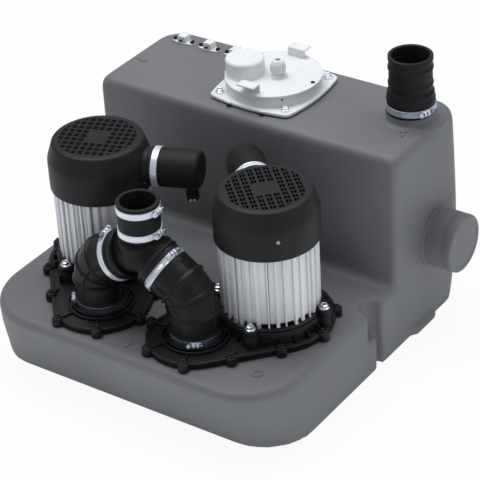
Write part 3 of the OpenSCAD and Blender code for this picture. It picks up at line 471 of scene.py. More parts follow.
# %% Finishes for the CAD nodes
BY_SLOT = {
    "grey_polyethylene": GREY, "white_plastic": WHITE, "black_plastic": BLACK,
    "ribbed_black_plastic": PIPE, "black_rubber": RUBBER, "zinc_plated_steel": ZINC,
    "black_steel": DARK_STEEL, "stainless_steel": STEEL, "cast_aluminium": ALUMINIUM,
    "wound_stator": COPPER, "rotor_iron": IRON, "impeller_plastic": BLUE,
}
for row in frame["record"]["subparts"]:
    mesh = frame["nodes"][row["node"]].data
    mesh.materials.clear()
    mesh.materials.append(BY_SLOT[row["material_slot"]])
print(len(frame["nodes"]), "CAD nodes dressed")

# %% [markdown]
# ## Tank
# The tank is moulded by turning a hot mould full of powder, which leaves every edge large and soft. A
# bevelled box would have edges all alike. Bridged rings of a rounded rectangle let each corner have its
# own radius, in the high rear block and in the low deck.

# %% Outlines of the tank
HALF_W = 262
FRONT_Y = -273.5
REAR_Y = 273.5
BLOCK_Y = 68.5
BLOCK_REAR = 260.5
TANK_H = 328
GROWN = 1  # the block stands out by this, to meet the photograph's outline
CORNER_STEPS = 14


def rounded(half, y0, y1, front_r, rear_r, z, left_r=None):
    """A rounded rectangle at height z: its front corners, its rear ones, and its front left one."""
    corners = [(half, y0, front_r), (half, y1, rear_r), (-half, y1, rear_r), (-half, y0, left_r or front_r)]
    return [(x, y, z) for x, y in soft(corners, CORNER_STEPS, closed=True)]


def edge_layers(z_top, radius):
    """Heights and insets that round a top edge."""
    turns = [math.pi / 2 * k / 8 for k in range(9)]
    return [(z_top - radius + radius * math.sin(a), radius * (1 - math.cos(a))) for a in turns]


def rear_at(z):
    """The rear wall's line: out to its widest at 150 mm, then in to the top."""
    if z < 150:
        return REAR_Y - 18 * (1 - z / 150) ** 1.6
    return REAR_Y - 13 * ((z - 150) / (TANK_H - 150)) ** 1.3


print("rear wall at", [round(rear_at(z), 1) for z in (0, 150, TANK_H)])

# %% Block and deck
def block_ring(z, half):
    return rounded(half, BLOCK_Y, rear_at(z) + GROWN, 9, 41, z)


def block_edge(z, inset):
    half = HALF_W + GROWN - inset
    return rounded(half, BLOCK_Y + inset, BLOCK_REAR + GROWN - inset, 11, 41 - inset, z)


def deck_ring(z):
    """The deck leans out at its front, and its left corner opens more than its right one."""
    front = FRONT_Y + 37 * (1 - z / 100)
    return rounded(HALF_W, front, BLOCK_Y + 40, 82 + z / 10, 3, z, 64 + z / 3)


def deck_edge(z, inset):
    return rounded(HALF_W - 1 - inset, FRONT_Y + inset, BLOCK_Y + 40, 92 - inset, 3, z, 101 - inset)


rings = [block_ring(z, HALF_W) for z in (0, 6)]
rings += [block_ring(z, HALF_W + GROWN) for z in range(30, 311, 28)]
rings += [block_edge(z, inset) for z, inset in edge_layers(TANK_H, 13)]
rear_block = loft(rings)
rings = [deck_ring(z) for z in (0, 5, 36, 68)]
rings += [deck_edge(z, inset) for z, inset in edge_layers(DECK_Z, 11)]
deck = loft(rings)
print("block", len(rear_block.faces), "faces, deck", len(deck.faces), "faces")

# %% [markdown]
# Each side has an upright groove with a notch at its foot, and the top has the inlet's bore. They are
# real cuts, because a dark patch would hold no shadow.

# %% Grooves and the inlet's bore
INLET = at(217.8, 190.3)


def drill(part, radius, low, high, place, steps):
    """The part with an upright round hole cut in it."""
    return carve(part, placed(rod(radius, low, high, steps), place))


for side in (-1, 1):
    deck = drill(deck, 18.5, 58, 140, at(side * 257, 13), 64)
    deck = carve(deck, placed(block((40, 14, 90), 0), at(side * 267, 24.5, 18)))
rear_block = drill(rear_block, 26, 290, 350, INLET, 48)
print("block", len(rear_block.faces), "faces, deck", len(deck.faces), "faces")

# %% [markdown]
# A hollow curve runs between the deck and the block's wall, and a foot stands out at each side. One
# voxel skin over all of these, relaxed a little, gives the melted edges of the real moulding. Finer
# voxels would show more, but would pass the limit of triangles.

# %% Hollow curve, feet and skin
HOLLOW = 14
SUNK = 8
ALONG_X = Matrix(((0, 0, 1, 0), (1, 0, 0, 0), (0, 1, 0, 0), (0, 0, 0, 1)))

tank = bmesh.new()
put(tank, rear_block)
put(tank, deck)
curve = [(BLOCK_Y + SUNK, DECK_Z - SUNK), (BLOCK_Y - HOLLOW, DECK_Z - SUNK)]
for k in range(9):
    a = math.pi / 2 * k / 8
    curve.append((BLOCK_Y - HOLLOW + HOLLOW * math.sin(a), DECK_Z + HOLLOW - HOLLOW * math.cos(a)))
curve.append((BLOCK_Y + SUNK, DECK_Z + HOLLOW))
put(tank, prism(curve, -HALF_W + 13, HALF_W - 13), ALONG_X)
for side in (-1, 1):
    put(tank, block((27, 60, 15), 2), at(side * 255.5, 147, 7.5))
tank = piece("tank_skin", tank, [GREY], ["tank"], sharp=60)
melt(tank, 0.0037, 10)

# %% [markdown]
# ## Side spigots and the inlet's neck
# A closed spigot sticks out of each side, and a neck stands under the inlet's sleeve. They are turned,
# and stay out of the tank's skin, whose voxels would swallow the fine grooves that show where to saw a
# spigot off.

# %% Side spigots and the inlet's neck
spigots = bmesh.new()
spigot = [(0, 0), (40, 0), (46.6, 10), (46.6, 14.5, 1.5), (45, 15, 1),
          (45, 41.8, 1), (44.1, 42.2, 0.4), (44.1, 43.4, 0.4), (45, 43.8, 1),
          (45, 45.8, 1), (44.1, 46.2, 0.4), (44.1, 47.4, 0.4), (45, 47.8, 1),
          (45, 60, 4), (38, 60, 2), (36.5, 59, 2), (0, 59)]
for side in (-1, 1):
    put(spigots, turned(spigot, 4, 128), at(side * 250, 186.5, 140, ry=90 * side))
neck = [(26, 320), (52, 320), (52, 327.5, 0.5), (44, 328.2, 6), (37.4, 331, 5), (36, 341.2, 0.5),
        (31, 341.2, 0.5), (31, 368.5, 1.5), (27, 368.5, 1.5), (26, 366)]
put(spigots, turned(neck, 5, 96, True), INLET)
piece("spigots", spigots, [GREY], [])

# %% [markdown]
# ## Flow marks
# Whoever joins the pipes has to know which way the water goes, so raised arrows stand by the inlets and
# the outlet, and a plain ring on the deck's corner. They are sunk a little into the tank, because a bump
# alone casts no shadow.

# %% Flow marks
marks = bmesh.new()
arrow = [(-1.8, -10), (1.8, -10), (1.8, 1.5), (6, 1.5), (0, 10), (-6, 1.5), (-1.8, 1.5)]
for x, y, z, turn in ((-236, 144, TANK_H, -90), (233, 143, TANK_H, 20), (7, -240, DECK_Z, 0)):
    put(marks, prism(arrow, -2, 1.3, 0.3, 2), at(x, y, z, rz=turn))
band = [(5.6, -2), (7.6, -2), (7.6, 1.2, 0.4), (5.6, 1.2, 0.4)]
put(marks, turned(band, 3, 48, True), at(205, -208, DECK_Z))
piece("flow_marks", marks, [GREY], [])

# %% [markdown]
# ## Hose clamps
# A worm clamp is a steel band whose slots a screw pulls along, and one tool makes them all. The band is
# turned with rolled rims, and its slots are vertices pushed in, which costs no faces. The rest is small
# blocks, prisms and turnings.

# %% Band and worm of a hose clamp
BAND_THICK = 0.95
SLOT_DEPTH = 0.85
SLOT_MARGIN = 2.7


def clamp_band(radius, width, slots):
    """The band, with slots between two angles counted round from the worm's housing."""
    outer = radius + BAND_THICK
    rim = outer + 0.3
    outline = [(radius, 0), (outer, 0.1, 0.4), (rim, 0.8, 0.5), (outer, 1.6, 0.5), (outer, 2.4),
               (outer, 2.9), (outer, width - 2.9), (outer, width - 2.4), (outer, width - 1.6, 0.5),
               (rim, width - 0.8, 0.5), (outer, width - 0.1, 0.4), (radius, width)]
    band = lathe(soft(outline, 3), 180, closed=True)
    for vert in band.verts:
        step = round(math.degrees(math.atan2(vert.co.y, vert.co.x)) / 2)
        on_face = SLOT_MARGIN < vert.co.z < width - SLOT_MARGIN and vert.co.xy.length > outer - 0.1
        if on_face and step % 2 and slots[0] < 2 * step % 360 < slots[1]:
            vert.co.xy *= (outer - SLOT_DEPTH) / outer
    return band


def worm_thread():
    """The worm, from its tip to its head, with its thread as turned ridges."""
    ridges = [(2.9 - 0.5 * (k % 2), 1.3 * k - 9) for k in range(14)]
    profile = soft([(2.9, -10, 0.5)] + ridges + [(2.9, 9.5)], 2)
    return lathe([(0, -10)] + profile + [(0, 9.5)], 24)


def saddle(end):
    """One of the two arches that hold the worm down."""
    turns = [math.pi * k / 14 - math.pi / 2 for k in range(15)]
    return prism([(4.7 * math.cos(a), 4.5 * math.sin(a)) for a in turns], end, end + 3, 0.5)


# %% Hose clamps
def hose_clamp(name, radius, place, nodes, turn=0, width=10, slots=(120, 240), finish=ZINC):
    """A worm clamp round a pipe, turned so that its worm sits where the real one does."""
    whole = put(bmesh.new(), clamp_band(radius, width, slots))
    middle = width / 2
    axis = at(radius + 3.6, 0, middle, rx=90)
    put(whole, block((1.0, 16, width - 3.2), 0.3), at(radius + 1.35, 8, middle, rz=5), 1)
    put(whole, block((2.2, 15, width - 0.6), 0.5), at(radius + 1.6, 0, middle), 2)
    for end in (-4.4, 1.4):
        put(whole, saddle(end), at(radius + 2.0, 0, middle, rx=90), 2)
    put(whole, worm_thread(), axis, 1)
    head = prism(circle(3.3, 6), 9, 12.6, 0.45)
    screwdriver_slot = placed(block((0.9, 8, 2), 0), at(z=12.6))
    put(whole, carve(head, screwdriver_slot), axis, 2)
    put(whole, turned([(0, 8.4), (3.9, 8.4, 0.3), (3.9, 9.2, 0.3), (0, 9.2)], 2, 24), axis, 2)
    whole.transform(place @ at(rz=turn))
    # Slot 1, the worm and the band's inner end, is zinc painted darker: painted shade.
    return piece(name, whole, [finish, SHADED_ZINC, ZINC], nodes)


# %% [markdown]
# ## Motors
# Each motor stands in a finned aluminium barrel, which sheds its heat. Even fins would look printed: on
# a casting they differ in width and end unevenly. These are drawn at random from a fixed seed, so that
# every run is the same.

# %% Motor bodies
BARREL_R = 68.8
SLOT_R = 64
FIN_ROOT = 66
FIN_COUNT = 34

random.seed(7)
fin_plan = []
for k in range(FIN_COUNT):
    angle = 360 * (k + random.uniform(-0.16, 0.16)) / FIN_COUNT
    wide = random.choice((2.6, 5.2, 6, 6.8, 7.4))
    lift = random.choice((0, 1, 2, 3))
    reach = random.choice((71.4, 71.9, 72.3))
    fin_plan.append((angle, wide, lift, reach))
slot_plan = random.sample(range(180), 16)
print("widest fin", max(wide for angle, wide, lift, reach in fin_plan), "mm")


def motor_body(u):
    """A barrel with slots, and its fins."""
    wall = [(54, 149), (BARREL_R, 149, 0.6), (BARREL_R, 262, 1), (54, 262)]
    barrel = turned(wall, 2, 180, True)
    for vert in barrel.verts:
        step = round(math.degrees(math.atan2(vert.co.y, vert.co.x)) / 2) % 180
        if step in slot_plan and vert.co.xy.length > 60:
            vert.co.xy *= SLOT_R / BARREL_R
    whole = put(bmesh.new(), barrel)
    high = COVER_LOW + 3
    for angle, wide, lift, reach in fin_plan:
        low = MOTOR_Z - 5.5 + lift
        fin = block((reach - FIN_ROOT, wide, high - low), 0.8, 3)
        put(whole, fin, at(rz=angle) @ at((reach + FIN_ROOT) / 2, 0, (high + low) / 2))
    whole.transform(pump(u))
    pump_piece(u, "motor_body", whole, ALUMINIUM)


for u in SIDES:
    motor_body(u)

# %% [markdown]
# ## Fan covers
# The cap over each motor's fan has a soft shoulder, and air holes in rows round a plain square. They
# could be painted on, but the fan has to show through, so a grid of pins is cut out of the cap.

# %% Fan covers
PITCH_X = 10.5
PITCH_Y = 12
HOLE = (7.8, 3.5, 14)
HOLE_OFFSET = 2.25
GRILLE_R = 57


def grille_cutters():
    """Two pins for each place of the grid, cut off by the rim's circle."""
    pins = bmesh.new()
    for i in range(-5, 6):
        for j in range(-4, 5):
            middle = max(abs(i), abs(j)) <= 1
            if middle or math.hypot(PITCH_X * i, PITCH_Y * j) >= GRILLE_R + 4:
                continue
            for side in (-1, 1):
                spot = at(PITCH_X * i, PITCH_Y * j + HOLE_OFFSET * side, COVER_TOP)
                put(pins, block(HOLE, 0.5, 2), spot)
    return carve(pins, prism(circle(GRILLE_R, 128), COVER_TOP - 9, COVER_TOP + 9), "INTERSECT")


def fan_cover(u):
    """The cap with its holes, and the neck for the cable housing."""
    shell = [(0, 330), (60, 330.2, 1), (67.4, 328.8, 7), (76, 302, 28), (76, 256.3, 0.5),
             (74.6, 256, 0.3), (73, 257), (73, 301, 26), (65, 325.6, 5), (60, 327.4), (0, 327.4)]
    whole = carve(turned(shell, 9, 160), placed(grille_cutters(), at(rz=HOUSING_TURN[u])))
    whole.transform(pump(u))
    neck = [(24, 66), (27, 66), (27, 78, 1), (28.8, 79, 0.8), (28.8, 82, 0.8), (27, 83, 1),
            (27, 96, 1), (24, 96)]
    put(whole, turned(neck, 3, 72), housing(u))
    pump_piece(u, "fan_cover", whole, COVER, sharp=28)


for u in SIDES:
    fan_cover(u)

# %% [markdown]
# ## Cable housings
# A rubber boot with a rounded end closes each cover's neck, and a small gland hangs under it. Both are
# round, so both are turned, and a circle of six points is the shortest way to the gland's nut.

# %% Cable housings
def cable_boot(u):
    """The boot and the stub under it."""
    whole = bmesh.new()
    cup = [(27.1, 80), (29.6, 80, 0.8), (29.6, 84, 0.8), (29, 84.8, 0.6), (29, 95.2, 0.6),
           (29.4, 96, 0.6), (29.2, 140, 2), (29, 155, 9), (0, 155)]
    put(whole, turned(cup, 7, 96), housing(u))
    stub = [(0, 250), (9.4, 250, 1), (9.4, 254, 1), (8.2, 256, 1), (9, 264, 3), (12, 272)]
    put(whole, turned(stub, 3, 40), beside_cover(u) @ at(138))
    pump_piece(u, "cable_boot", whole, RUBBER)


def boot_gland(u, glands):
    """The nut, its sleeve, and two bright rings on the side that is seen."""
    drop = beside_cover(u) @ at(138)
    put(glands, prism(circle(10.6, 6), 240, 249, 1.0), drop)
    put(glands, turned([(0, 236.5), (8, 236.5, 2), (9.6, 240.5), (9.6, 250)], 4, 40), drop)
    for side in (-1, 1):
        bright = [(0.9, -2), (2.3, -2), (2.3, 1.6, 0.5), (0.9, 1.6, 0.4)]
        turn = (285, 75)[u] + 15 * side
        put(glands, turned(bright, 3, 24, True), drop @ at(rz=turn) @ at(9.6, 0, 241.5, ry=90), 1)


glands = bmesh.new()
for u in SIDES:
    cable_boot(u)
    boot_gland(u, glands)
piece("boot_gland_skin", glands, [BLACK, ZINC], ["boot_glands"])

# %% [markdown]
# ## Base plates
# Each pump hangs under an egg-shaped plate that is screwed to the deck. The egg is two circles and their
# common tangents, worked out once for plate and rim. Bosses, seat and ribs are moulded in one with it,
# so they are sunk into it.

# %% Outline and bosses of a base plate
PUMP_R = 92
PORT_R = 72
BOSS_R = 93
TANGENT = math.acos((PUMP_R - PORT_R) / PORT_DIST)


def egg(r1, r2):
    """The line round two circles and their common tangents."""
    b = math.acos((r1 - r2) / PORT_DIST)
    turns = [(-b + 2 * b * k / 28, PORT_DIST, r2) for k in range(29)]
    turns += [(b + (FULL_TURN - 2 * b) * k / 56, 0, r1) for k in range(57)]
    return [(cx + r * math.cos(a), r * math.sin(a)) for a, cx, r in turns]


def boss_spots():
    """Where the plate's screws stand: eight round the pump, three round the port."""
    spots = []
    for side in (-1, 1):
        for angle in (38.5, 74, 118, 158):
            a = math.radians(angle)
            reach = PUMP_R / math.cos(TANGENT - a) if angle < 60 else BOSS_R
            spots.append((reach * math.cos(a), side * reach * math.sin(a)))
    for angle in (-54, 0, 54):
        a = math.radians(angle)
        spots.append((PORT_DIST + 74 * math.cos(a), 74 * math.sin(a)))
    return spots


print(len(egg(PUMP_R, PORT_R)), "points round a plate,", len(boss_spots()), "bosses")

# %% Base plates
def ring(outer, inner, low, high, edge=0.8):
    """A flat-sided ring with rounded top edges."""
    wall = [(inner, low), (outer, low), (outer, high, edge), (inner, high, edge)]
    return turned(wall, 3, 96, True)


def plate_and_bosses(whole):
    """The plate, its raised rim, and each boss with a small rib."""
    put(whole, prism(egg(PUMP_R, PORT_R), PLATE_Z, PLATE_TOP - 1.5, 1.0))
    rim = prism(egg(PUMP_R, PORT_R), PLATE_Z + 1, PLATE_TOP + 0.6, 1.4)
    put(whole, carve(rim, prism(egg(86.5, 66.5), PLATE_TOP - 2, PLATE_TOP + 5)))
    for x, y in boss_spots():
        dome = [(0, PLATE_Z), (8.5, PLATE_Z, 0.8), (8.3, 121, 2), (7.6, 125.4, 2.2), (0, 125.5)]
        put(whole, turned(dome, 5, 40), at(x, y))
        centre_x = PORT_DIST if x > 130 else 0
        inward = math.degrees(math.atan2(y, x - centre_x))
        put(whole, block((13, 3.2, 5), 1.0), at(x, y, 121.5, rz=inward) @ at(-10))


def motor_seat(whole):
    """The seat that the motor's bracket stands on, with its posts and gussets."""
    seat = [(70.5, 120), (78.5, 120), (77.4, 126, 2), (77, 138.8, 1), (74.5, 138.8, 0.6),
            (74, 132, 1), (70.5, 131)]
    put(whole, turned(seat, 3, 128, True))
    for k in range(4):
        post = [(0, 118), (12, 118), (11, 138.8, 1), (0, 138.8)]
        put(whole, turned(post, 4, 48), corner(k))
        put(whole, block((14, 4, 14), 1.0), at(rz=45 + 90 * k) @ at(88, 0, 128))
    for k in range(24):
        if k % 6 != 3:
            put(whole, block((9, 2.6, 11), 0.9), at(rz=15 * k) @ at(79.5, 0, 125))


def port_rings(whole):
    """The rings round the outlet port, and the short ribs between them."""
    put(whole, ring(50, 46.6, 119, 125.5), at(PORT_DIST))
    put(whole, ring(42.6, 39.8, 119, 126.5), at(PORT_DIST))
    put(whole, ring(31.1, 26, 119, 146, 1.2), at(PORT_DIST))
    for angle in (-54, 0, 54):
        put(whole, block((24, 2.8, 5), 0.9), at(PORT_DIST, rz=angle) @ at(59, 0, 121.6))
    for angle in range(-120, 121, 24):
        put(whole, block((8, 2.4, 4), 0.9), at(PORT_DIST, rz=angle) @ at(44.6, 0, 121.6))


for u in SIDES:
    whole = bmesh.new()
    plate_and_bosses(whole)
    motor_seat(whole)
    port_rings(whole)
    whole.transform(pump(u))
    pump_piece(u, "base_plate", whole, BLACK)

# %% [markdown]
# ## Bearing brackets
# A stepped ring carries each motor's lower bearing and closes the seat. Its profile is spun, and the
# edges that the spin leaves open round the shaft are filled.

# %% Bearing brackets
def bearing_bracket(u):
    """The stepped ring with four feet under the bolts and a crown of short ribs."""
    whole = bmesh.new()
    shape = [(26, 139), (75, 139, 0.8), (75, 141.4, 1), (70.5, 143.4, 1), (64, 143.6, 0.6),
             (63, 149.5, 1), (26, 150)]
    put(whole, turned(shape, 4, 128))
    open_edges = [e for e in whole.edges if e.is_boundary]
    bmesh.ops.holes_fill(whole, edges=open_edges, sides=0)
    for k in range(4):
        put(whole, turned([(0, 139), (11, 139, 0.6), (11, 147, 1.2), (0, 147)], 4, 48), corner(k))
        put(whole, block((16, 15, 8), 1.4), at(rz=45 + 90 * k) @ at(73, 0, 143))
    for k in range(24):
        put(whole, block((9, 2.2, 3.4), 0.7), at(rz=15 * k + 7.5) @ at(68, 0, 147.6))
    whole.transform(pump(u))
    pump_piece(u, "bearing_bracket", whole, BLACK)


for u in SIDES:
    bearing_bracket(u)

# %% [markdown]
# ## Bolts and screws
# Flange bolts hold the motors, and round-headed screws the plates and covers. A bolt's head is a hexagon
# with its top corners turned off: a prism gives the hexagon, a lathe the crown, and the exact Boolean
# keeps what they share.

# %% Motor bolts
def flange_bolt(whole, place, size, shank=18):
    """A hexagon head on a broad flange, its top corners turned round."""
    top = size * 1.5
    wide = size * 2.2
    flange = [(0, 0), (wide, 0, 0.2), (wide, 0.9, 0.4), (size * 1.75, 1.9, 0.6), (0, 2.0)]
    put(whole, turned(flange, 3, 48), place)
    head = prism(circle(size * 1.68, 6), 1.2, 1.2 + top, 0.28, 2)
    crown = [(0, 0), (size * 1.66, 0), (size * 1.66, top, 0.7), (size * 1.1, size * 1.74, 0.4),
             (size * 0.95, size * 1.6, 0.3), (0, size * 1.6)]
    put(whole, carve(head, placed(turned(crown, 4, 48)), "INTERSECT"), place)
    put(whole, rod(size, -shank, 0.2, 32), place)


bolts = bmesh.new()
for u in SIDES:
    for k in range(4):
        twist = 17 * k + 5 * u
        flange_bolt(bolts, pump(u) @ at(rz=45 + 90 * k) @ at(CORNER_DIST, 0, MOTOR_Z, rz=twist), 3.6)
piece("motor_bolt_skin", bolts, [BRIGHT_ZINC], ["motor_bolts"])

# %% Plate and cover screws
plate_screws = bmesh.new()
for u in SIDES:
    for x, y in boss_spots():
        spot = pump(u) @ at(x, y)
        cap = [(2.0, 126.6), (2.4, 128.4, 0.3), (3.4, 128.9, 0.5), (4.9, 127.4, 0.8), (5, 125.4),
               (0, 125.4)]
        put(plate_screws, turned(cap, 3, 32), spot)
        put(plate_screws, lathe([(0, 107), (2.8, 107), (2.8, 125.5), (0, 126.6)], 24), spot)
piece("plate_screw_skin", plate_screws, [DARK_STEEL], ["plate_screws"])

cover_screws = bmesh.new()
for u in SIDES:
    for turn in (60, 180, 345):
        height = 287 if turn < 200 else 272
        spot = pump(u) @ at(rz=HOUSING_TURN[u] + turn) @ at(75.4, 0, height, ry=90)
        head = [(1.1, 0.7), (1.3, 1.5, 0.2), (2.2, 1.9, 0.4), (2.9, 0.6, 0.3), (2.9, 0), (0, 0)]
        put(cover_screws, turned(head, 3, 32), spot)
        put(cover_screws, lathe([(0, 0.7), (1.2, 0.7), (1.2, 0.3), (0, 0.3)], 16), spot)
piece("cover_screw_small_skin", cover_screws, [STEEL], ["fan_cover_screws"])

# %% [markdown]
# ## Elbows
# A ribbed elbow leads from each port to the fork. A bevelled curve would be a smooth tube, but three
# rings and four lengthwise ribs melt into this one. So rings of points are bridged along its axis, wider
# where a ridge passes, and plain where a clamp sits.

# %% The elbow's line and ridges
ARC = math.radians(BEND_A) * BEND_R
ELBOW_LENGTH = ELBOW_FOOT + ARC + ELBOW_CUFF
RING_SPOTS = (43.5, 64.3, 84)
CLAMPED = (14, ELBOW_LENGTH - 28.4)
RIDGE_HEIGHT = 2.8


def ridge(distance, width):
    """A soft ridge: 1 at its line, 0 beyond its width."""
    t = min(1, abs(distance) / width)
    return (1 - t ** 3) ** 2


def along_elbow(u, s):
    """The place s millimetres up an elbow's axis from its foot."""
    if s <= ELBOW_FOOT:
        return port(u) @ at(z=PLATE_TOP + 1 + s)
    if s <= ELBOW_FOOT + ARC:
        return bend(u, math.degrees((s - ELBOW_FOOT) / BEND_R))
    return bend(u, BEND_A) @ at(z=s - ELBOW_FOOT - ARC)


def elbow_ring(u, s):
    """The points round the elbow at one place of its axis."""
    hoop = max(ridge(s - spot, 3.0) for spot in RING_SPOTS)
    free = min(1, max(0, min(s - CLAMPED[0], CLAMPED[1] - s) / 2.5))
    points = []
    for n in range(144):
        turn = 2.5 * n
        rib = ridge((turn + 45) % 90 - 45, 3.8)
        radius = ELBOW_R - 0.4 * free + RIDGE_HEIGHT * free * max(hoop, rib)
        a = math.radians(turn)
        points.append(along_elbow(u, s) @ Vector((radius * math.cos(a), radius * math.sin(a), 0)))
    return points


print("elbow length", round(ELBOW_LENGTH, 1), "mm")

# %% Elbows
COLLARS = (
    (ELBOW_LENGTH, -5.6, [(33, 0), (37.9, 0.2, 1.4), (38.6, 3, 1.6), (37.2, 6.4, 1.4), (33, 6.6)]),
    (ELBOW_LENGTH, -16, [(33, 0), (37.4, 0, 1), (37.8, 2.4, 1), (37, 4.4, 0.8), (33, 4.6)]),
    (-0.6, 0, [(30.5, 0), (39, 0, 0.8), (39, 1.8, 1), (36.5, 2.6, 0.8), (30.5, 2.6)]),
    (12.4, 0, [(33, 0), (37.6, 0, 0.8), (37.8, 2.2, 1), (36.6, 3.4, 0.8), (33, 3.4)]),
)


def elbow(u):
    """The ribbed tube and its four collars."""
    whole = loft([elbow_ring(u, ELBOW_LENGTH * k / 180) for k in range(181)])
    for s, shift, profile in COLLARS:
        put(whole, turned(profile, 4, 96, True), along_elbow(u, s) @ at(z=shift))
    pump_piece(u, "elbow", whole, PIPE, sharp=60)


for u in SIDES:
    elbow(u)
    # The foot clamps' band is zinc painted darker: painted shade and painted reflection of the black plate.
    hose_clamp(f"elbow_foot_clamp_{u + 1}", 36.6, port(u) @ at(z=125), ["elbow_clamps"],
               turn=(-144, 126)[u], finish=SHADED_ZINC)
    hose_clamp(f"elbow_top_clamp_{u + 1}", 36.6, bend(u, BEND_A) @ at(z=ELBOW_CUFF - (27, 23)[u]),
               ["elbow_clamps"], turn=(185, 175)[u], slots=((60, 110), (250, 330))[u],
               finish=(ZINC, BAND)[u])
    hose_clamp(f"boot_clamp_skin_{u + 1}", 29.1, housing(u) @ at(z=85), ["boot_clamps"],
               turn=(57, 345)[u], slots=((20, 60), (30, 330))[u])

# %% [markdown]
# ## Fork
# The fork joins both elbows under the outlet. Its branches and neck are plain turnings. A Boolean would
# leave a sharp seam between them, and a voxel skin flows, with finer voxels than the tank's.

# %% Fork
fork = bmesh.new()
for side in (-1, 1):
    branch = [(0, -3), (31.1, -3), (31.1, 73, 2), (26, 73, 2), (26, 66), (0, 66)]
    put(fork, turned(branch, 3, 96), at(0, PORT_Y, FORK_Z, ry=side * 120))
neck = [(0, 222), (33.2, 222), (33.2, 258, 7), (27.5, 263.6, 3), (24, 263.8), (24, 286, 1),
        (21, 286, 1), (21, 262), (0, 262)]
put(fork, turned(neck, 5, 96), at(0, PORT_Y))
# Its finish is black plastic painted darker: painted shade.
fork = piece("fork_skin", fork, [FORK_PAINTED_SHADE], ["y_piece"], sharp=70)
melt(fork, 0.0014, 14)

# %% [markdown]
# ## Rubber sleeves
# Rubber sleeves join the station to the house's pipes. Rubber this thick keeps its moulded shape, so
# nothing is simulated: both are turned, with their walls.

# %% Rubber sleeves
outlet = [(24.1, 264), (30.6, 264, 1), (30.6, 315, 0.6), (31.4, 315.8, 1), (31.4, 320, 1.6),
          (25.3, 320, 1.6), (25.3, 286.5, 0.4), (24.1, 286, 0.4)]
whole = placed(turned(outlet, 4, 128, True), at(0, PORT_Y))
piece("outlet_sleeve_skin", whole, [RUBBER], ["outlet_sleeve"])
for k, z in enumerate((268.5, 304.5)):
    hose_clamp(f"sleeve_clamp_{k + 1}", 30.65, at(0, PORT_Y, z), ["sleeve_clamps"], turn=4)

inlet = [(37, 341.5, 1), (37, 344.6, 0.8), (35.7, 345, 0.4), (35.7, 357, 1), (36.1, 363, 2),
         (34.9, 366, 1.5), (34.6, 373, 2), (31.9, 377.5, 1.5), (31.9, 383, 1), (33.2, 385, 1.2),
         (33.2, 388, 1.2), (31.9, 390, 1), (31.9, 408, 1), (33.2, 409.6, 1.2), (33.2, 413, 1.2),
         (31.9, 415, 1), (31.9, 422, 1), (33, 424, 1), (33, 430, 1.4), (27.5, 430, 1.4),
         (27.5, 382, 1), (26.4, 377), (26.4, 370), (31.2, 370), (31.2, 341.5)]
whole = placed(turned(inlet, 4, 128, True), INLET)
piece("inlet_sleeve_skin", whole, [RUBBER], ["inlet_sleeve"])
# The inlet clamp's band is zinc painted darker: painted shade and painted reflection.
hose_clamp("inlet_clamp_skin", 35.75, INLET @ at(z=345), ["inlet_clamp"], turn=-24, slots=(304, 346),
           finish=DARKENED_ZINC)

# %% [markdown]
# ## Inspection cover
# A white flanged drum closes the tank's hand hole. Its flange is almost square, with bowed sides, so its
# outline is worked out and raised as a prism. The drum, the vent cap and the gland's nut are turned.

# %% Cover, flange and drum
LID = at(-4, 165, 330)
LID_TOP = 25
LID_SCREWS = [(x, y) for x in (-58.5, 58.5) for y in (-58.5, 58.5)]
GASKET_TABS = [(x, side) for x in (-29, 29) for side in (-1, 1)]


def bowed_square(corner_at, bow, radius):
    """A square with bowed sides and small round corners."""
    line = []
    for turn in range(4):
        side = [(corner_at * t, -corner_at - bow * (1 - t * t)) for t in [k / 4 - 1 for k in range(8)]]
        for _ in range(turn):
            side = [(-y, x) for x, y in side]
        line += [(*side[0], radius)] + side[1:]
    return soft(line, 8, closed=True)


lid = placed(prism(bowed_square(69.5, 8.5, 10), 0, 5, 1.4, 4), LID)
drum = [(0, 2), (72.4, 2), (72, 18.5, 1.2), (73.6, 20.4, 0.8), (73.6, 24.2, 1.2), (70.5, 25, 1),
        (0, 25)]
put(lid, turned(drum, 5, 160), LID)
for x, y in LID_SCREWS:
    put(lid, turned([(0, 4), (8.4, 4), (8, 6.2, 0.8), (0, 6.2)], 3, 40), LID @ at(x, y))
for x, side in GASKET_TABS:
    put(lid, block((7.5, 3.4, 3.4), 0.8), LID @ at(x, side * 77, 3.8))
piece("cover_skin", lid, [WHITE], ["inspection_cover"], sharp=30)

# %% Vent cap and cable gland
vent = [(0, 0), (28.6, 0), (29.3, 1.5, 0.8), (29.6, 23, 2.6), (27, 25.7, 1.6), (19, 26),
        (0, 26.1)]
whole = placed(turned(vent, 6, 128), LID @ at(-39, -17.4, 25.05))
rim = [(27, -0.2), (31, -0.2, 0.3), (31, 1.1, 0.5), (27, 1.1)]
put(whole, turned(rim, 3, 96, True), LID @ at(-39, -17.4, 25.2))
piece("vent_cap_skin", whole, [WHITE], ["vent_cap"], sharp=40)

gland = bmesh.new()
spot = LID @ at(11.5, -4.5, LID_TOP)
foot = [(4.1, 0), (13.2, 0, 0.4), (13.2, 1.8, 0.7), (4.1, 1.8)]
put(gland, turned(foot, 3, 64, True), spot)
put(gland, carve(prism(circle(11.9, 6), 1.2, 6.2, 0.5), prism(circle(4.1, 32), -1, 9)), spot)
nut = [(4.1, 7), (10.4, 7, 0.6), (10.4, 22, 3.4), (7.6, 26.6, 2.4), (5.4, 27.6, 0.8),
       (4.1, 27.6, 0.4)]
put(gland, turned(nut, 5, 72, True), spot)
for k in range(12):
    put(gland, block((2.2, 3.3, 12.6), 0.7), spot @ at(rz=30 * k) @ at(10.5, 0, 14))
piece("cover_gland_skin", gland, [WHITE], ["cover_gland"], sharp=40)

# %% [markdown]
# Two angle clips stand on the drum. Each is a strip bent once, so its side view is the outline, and the
# strip's width is the prism's height. Screws, a black plug and the gasket's tabs complete the cover.

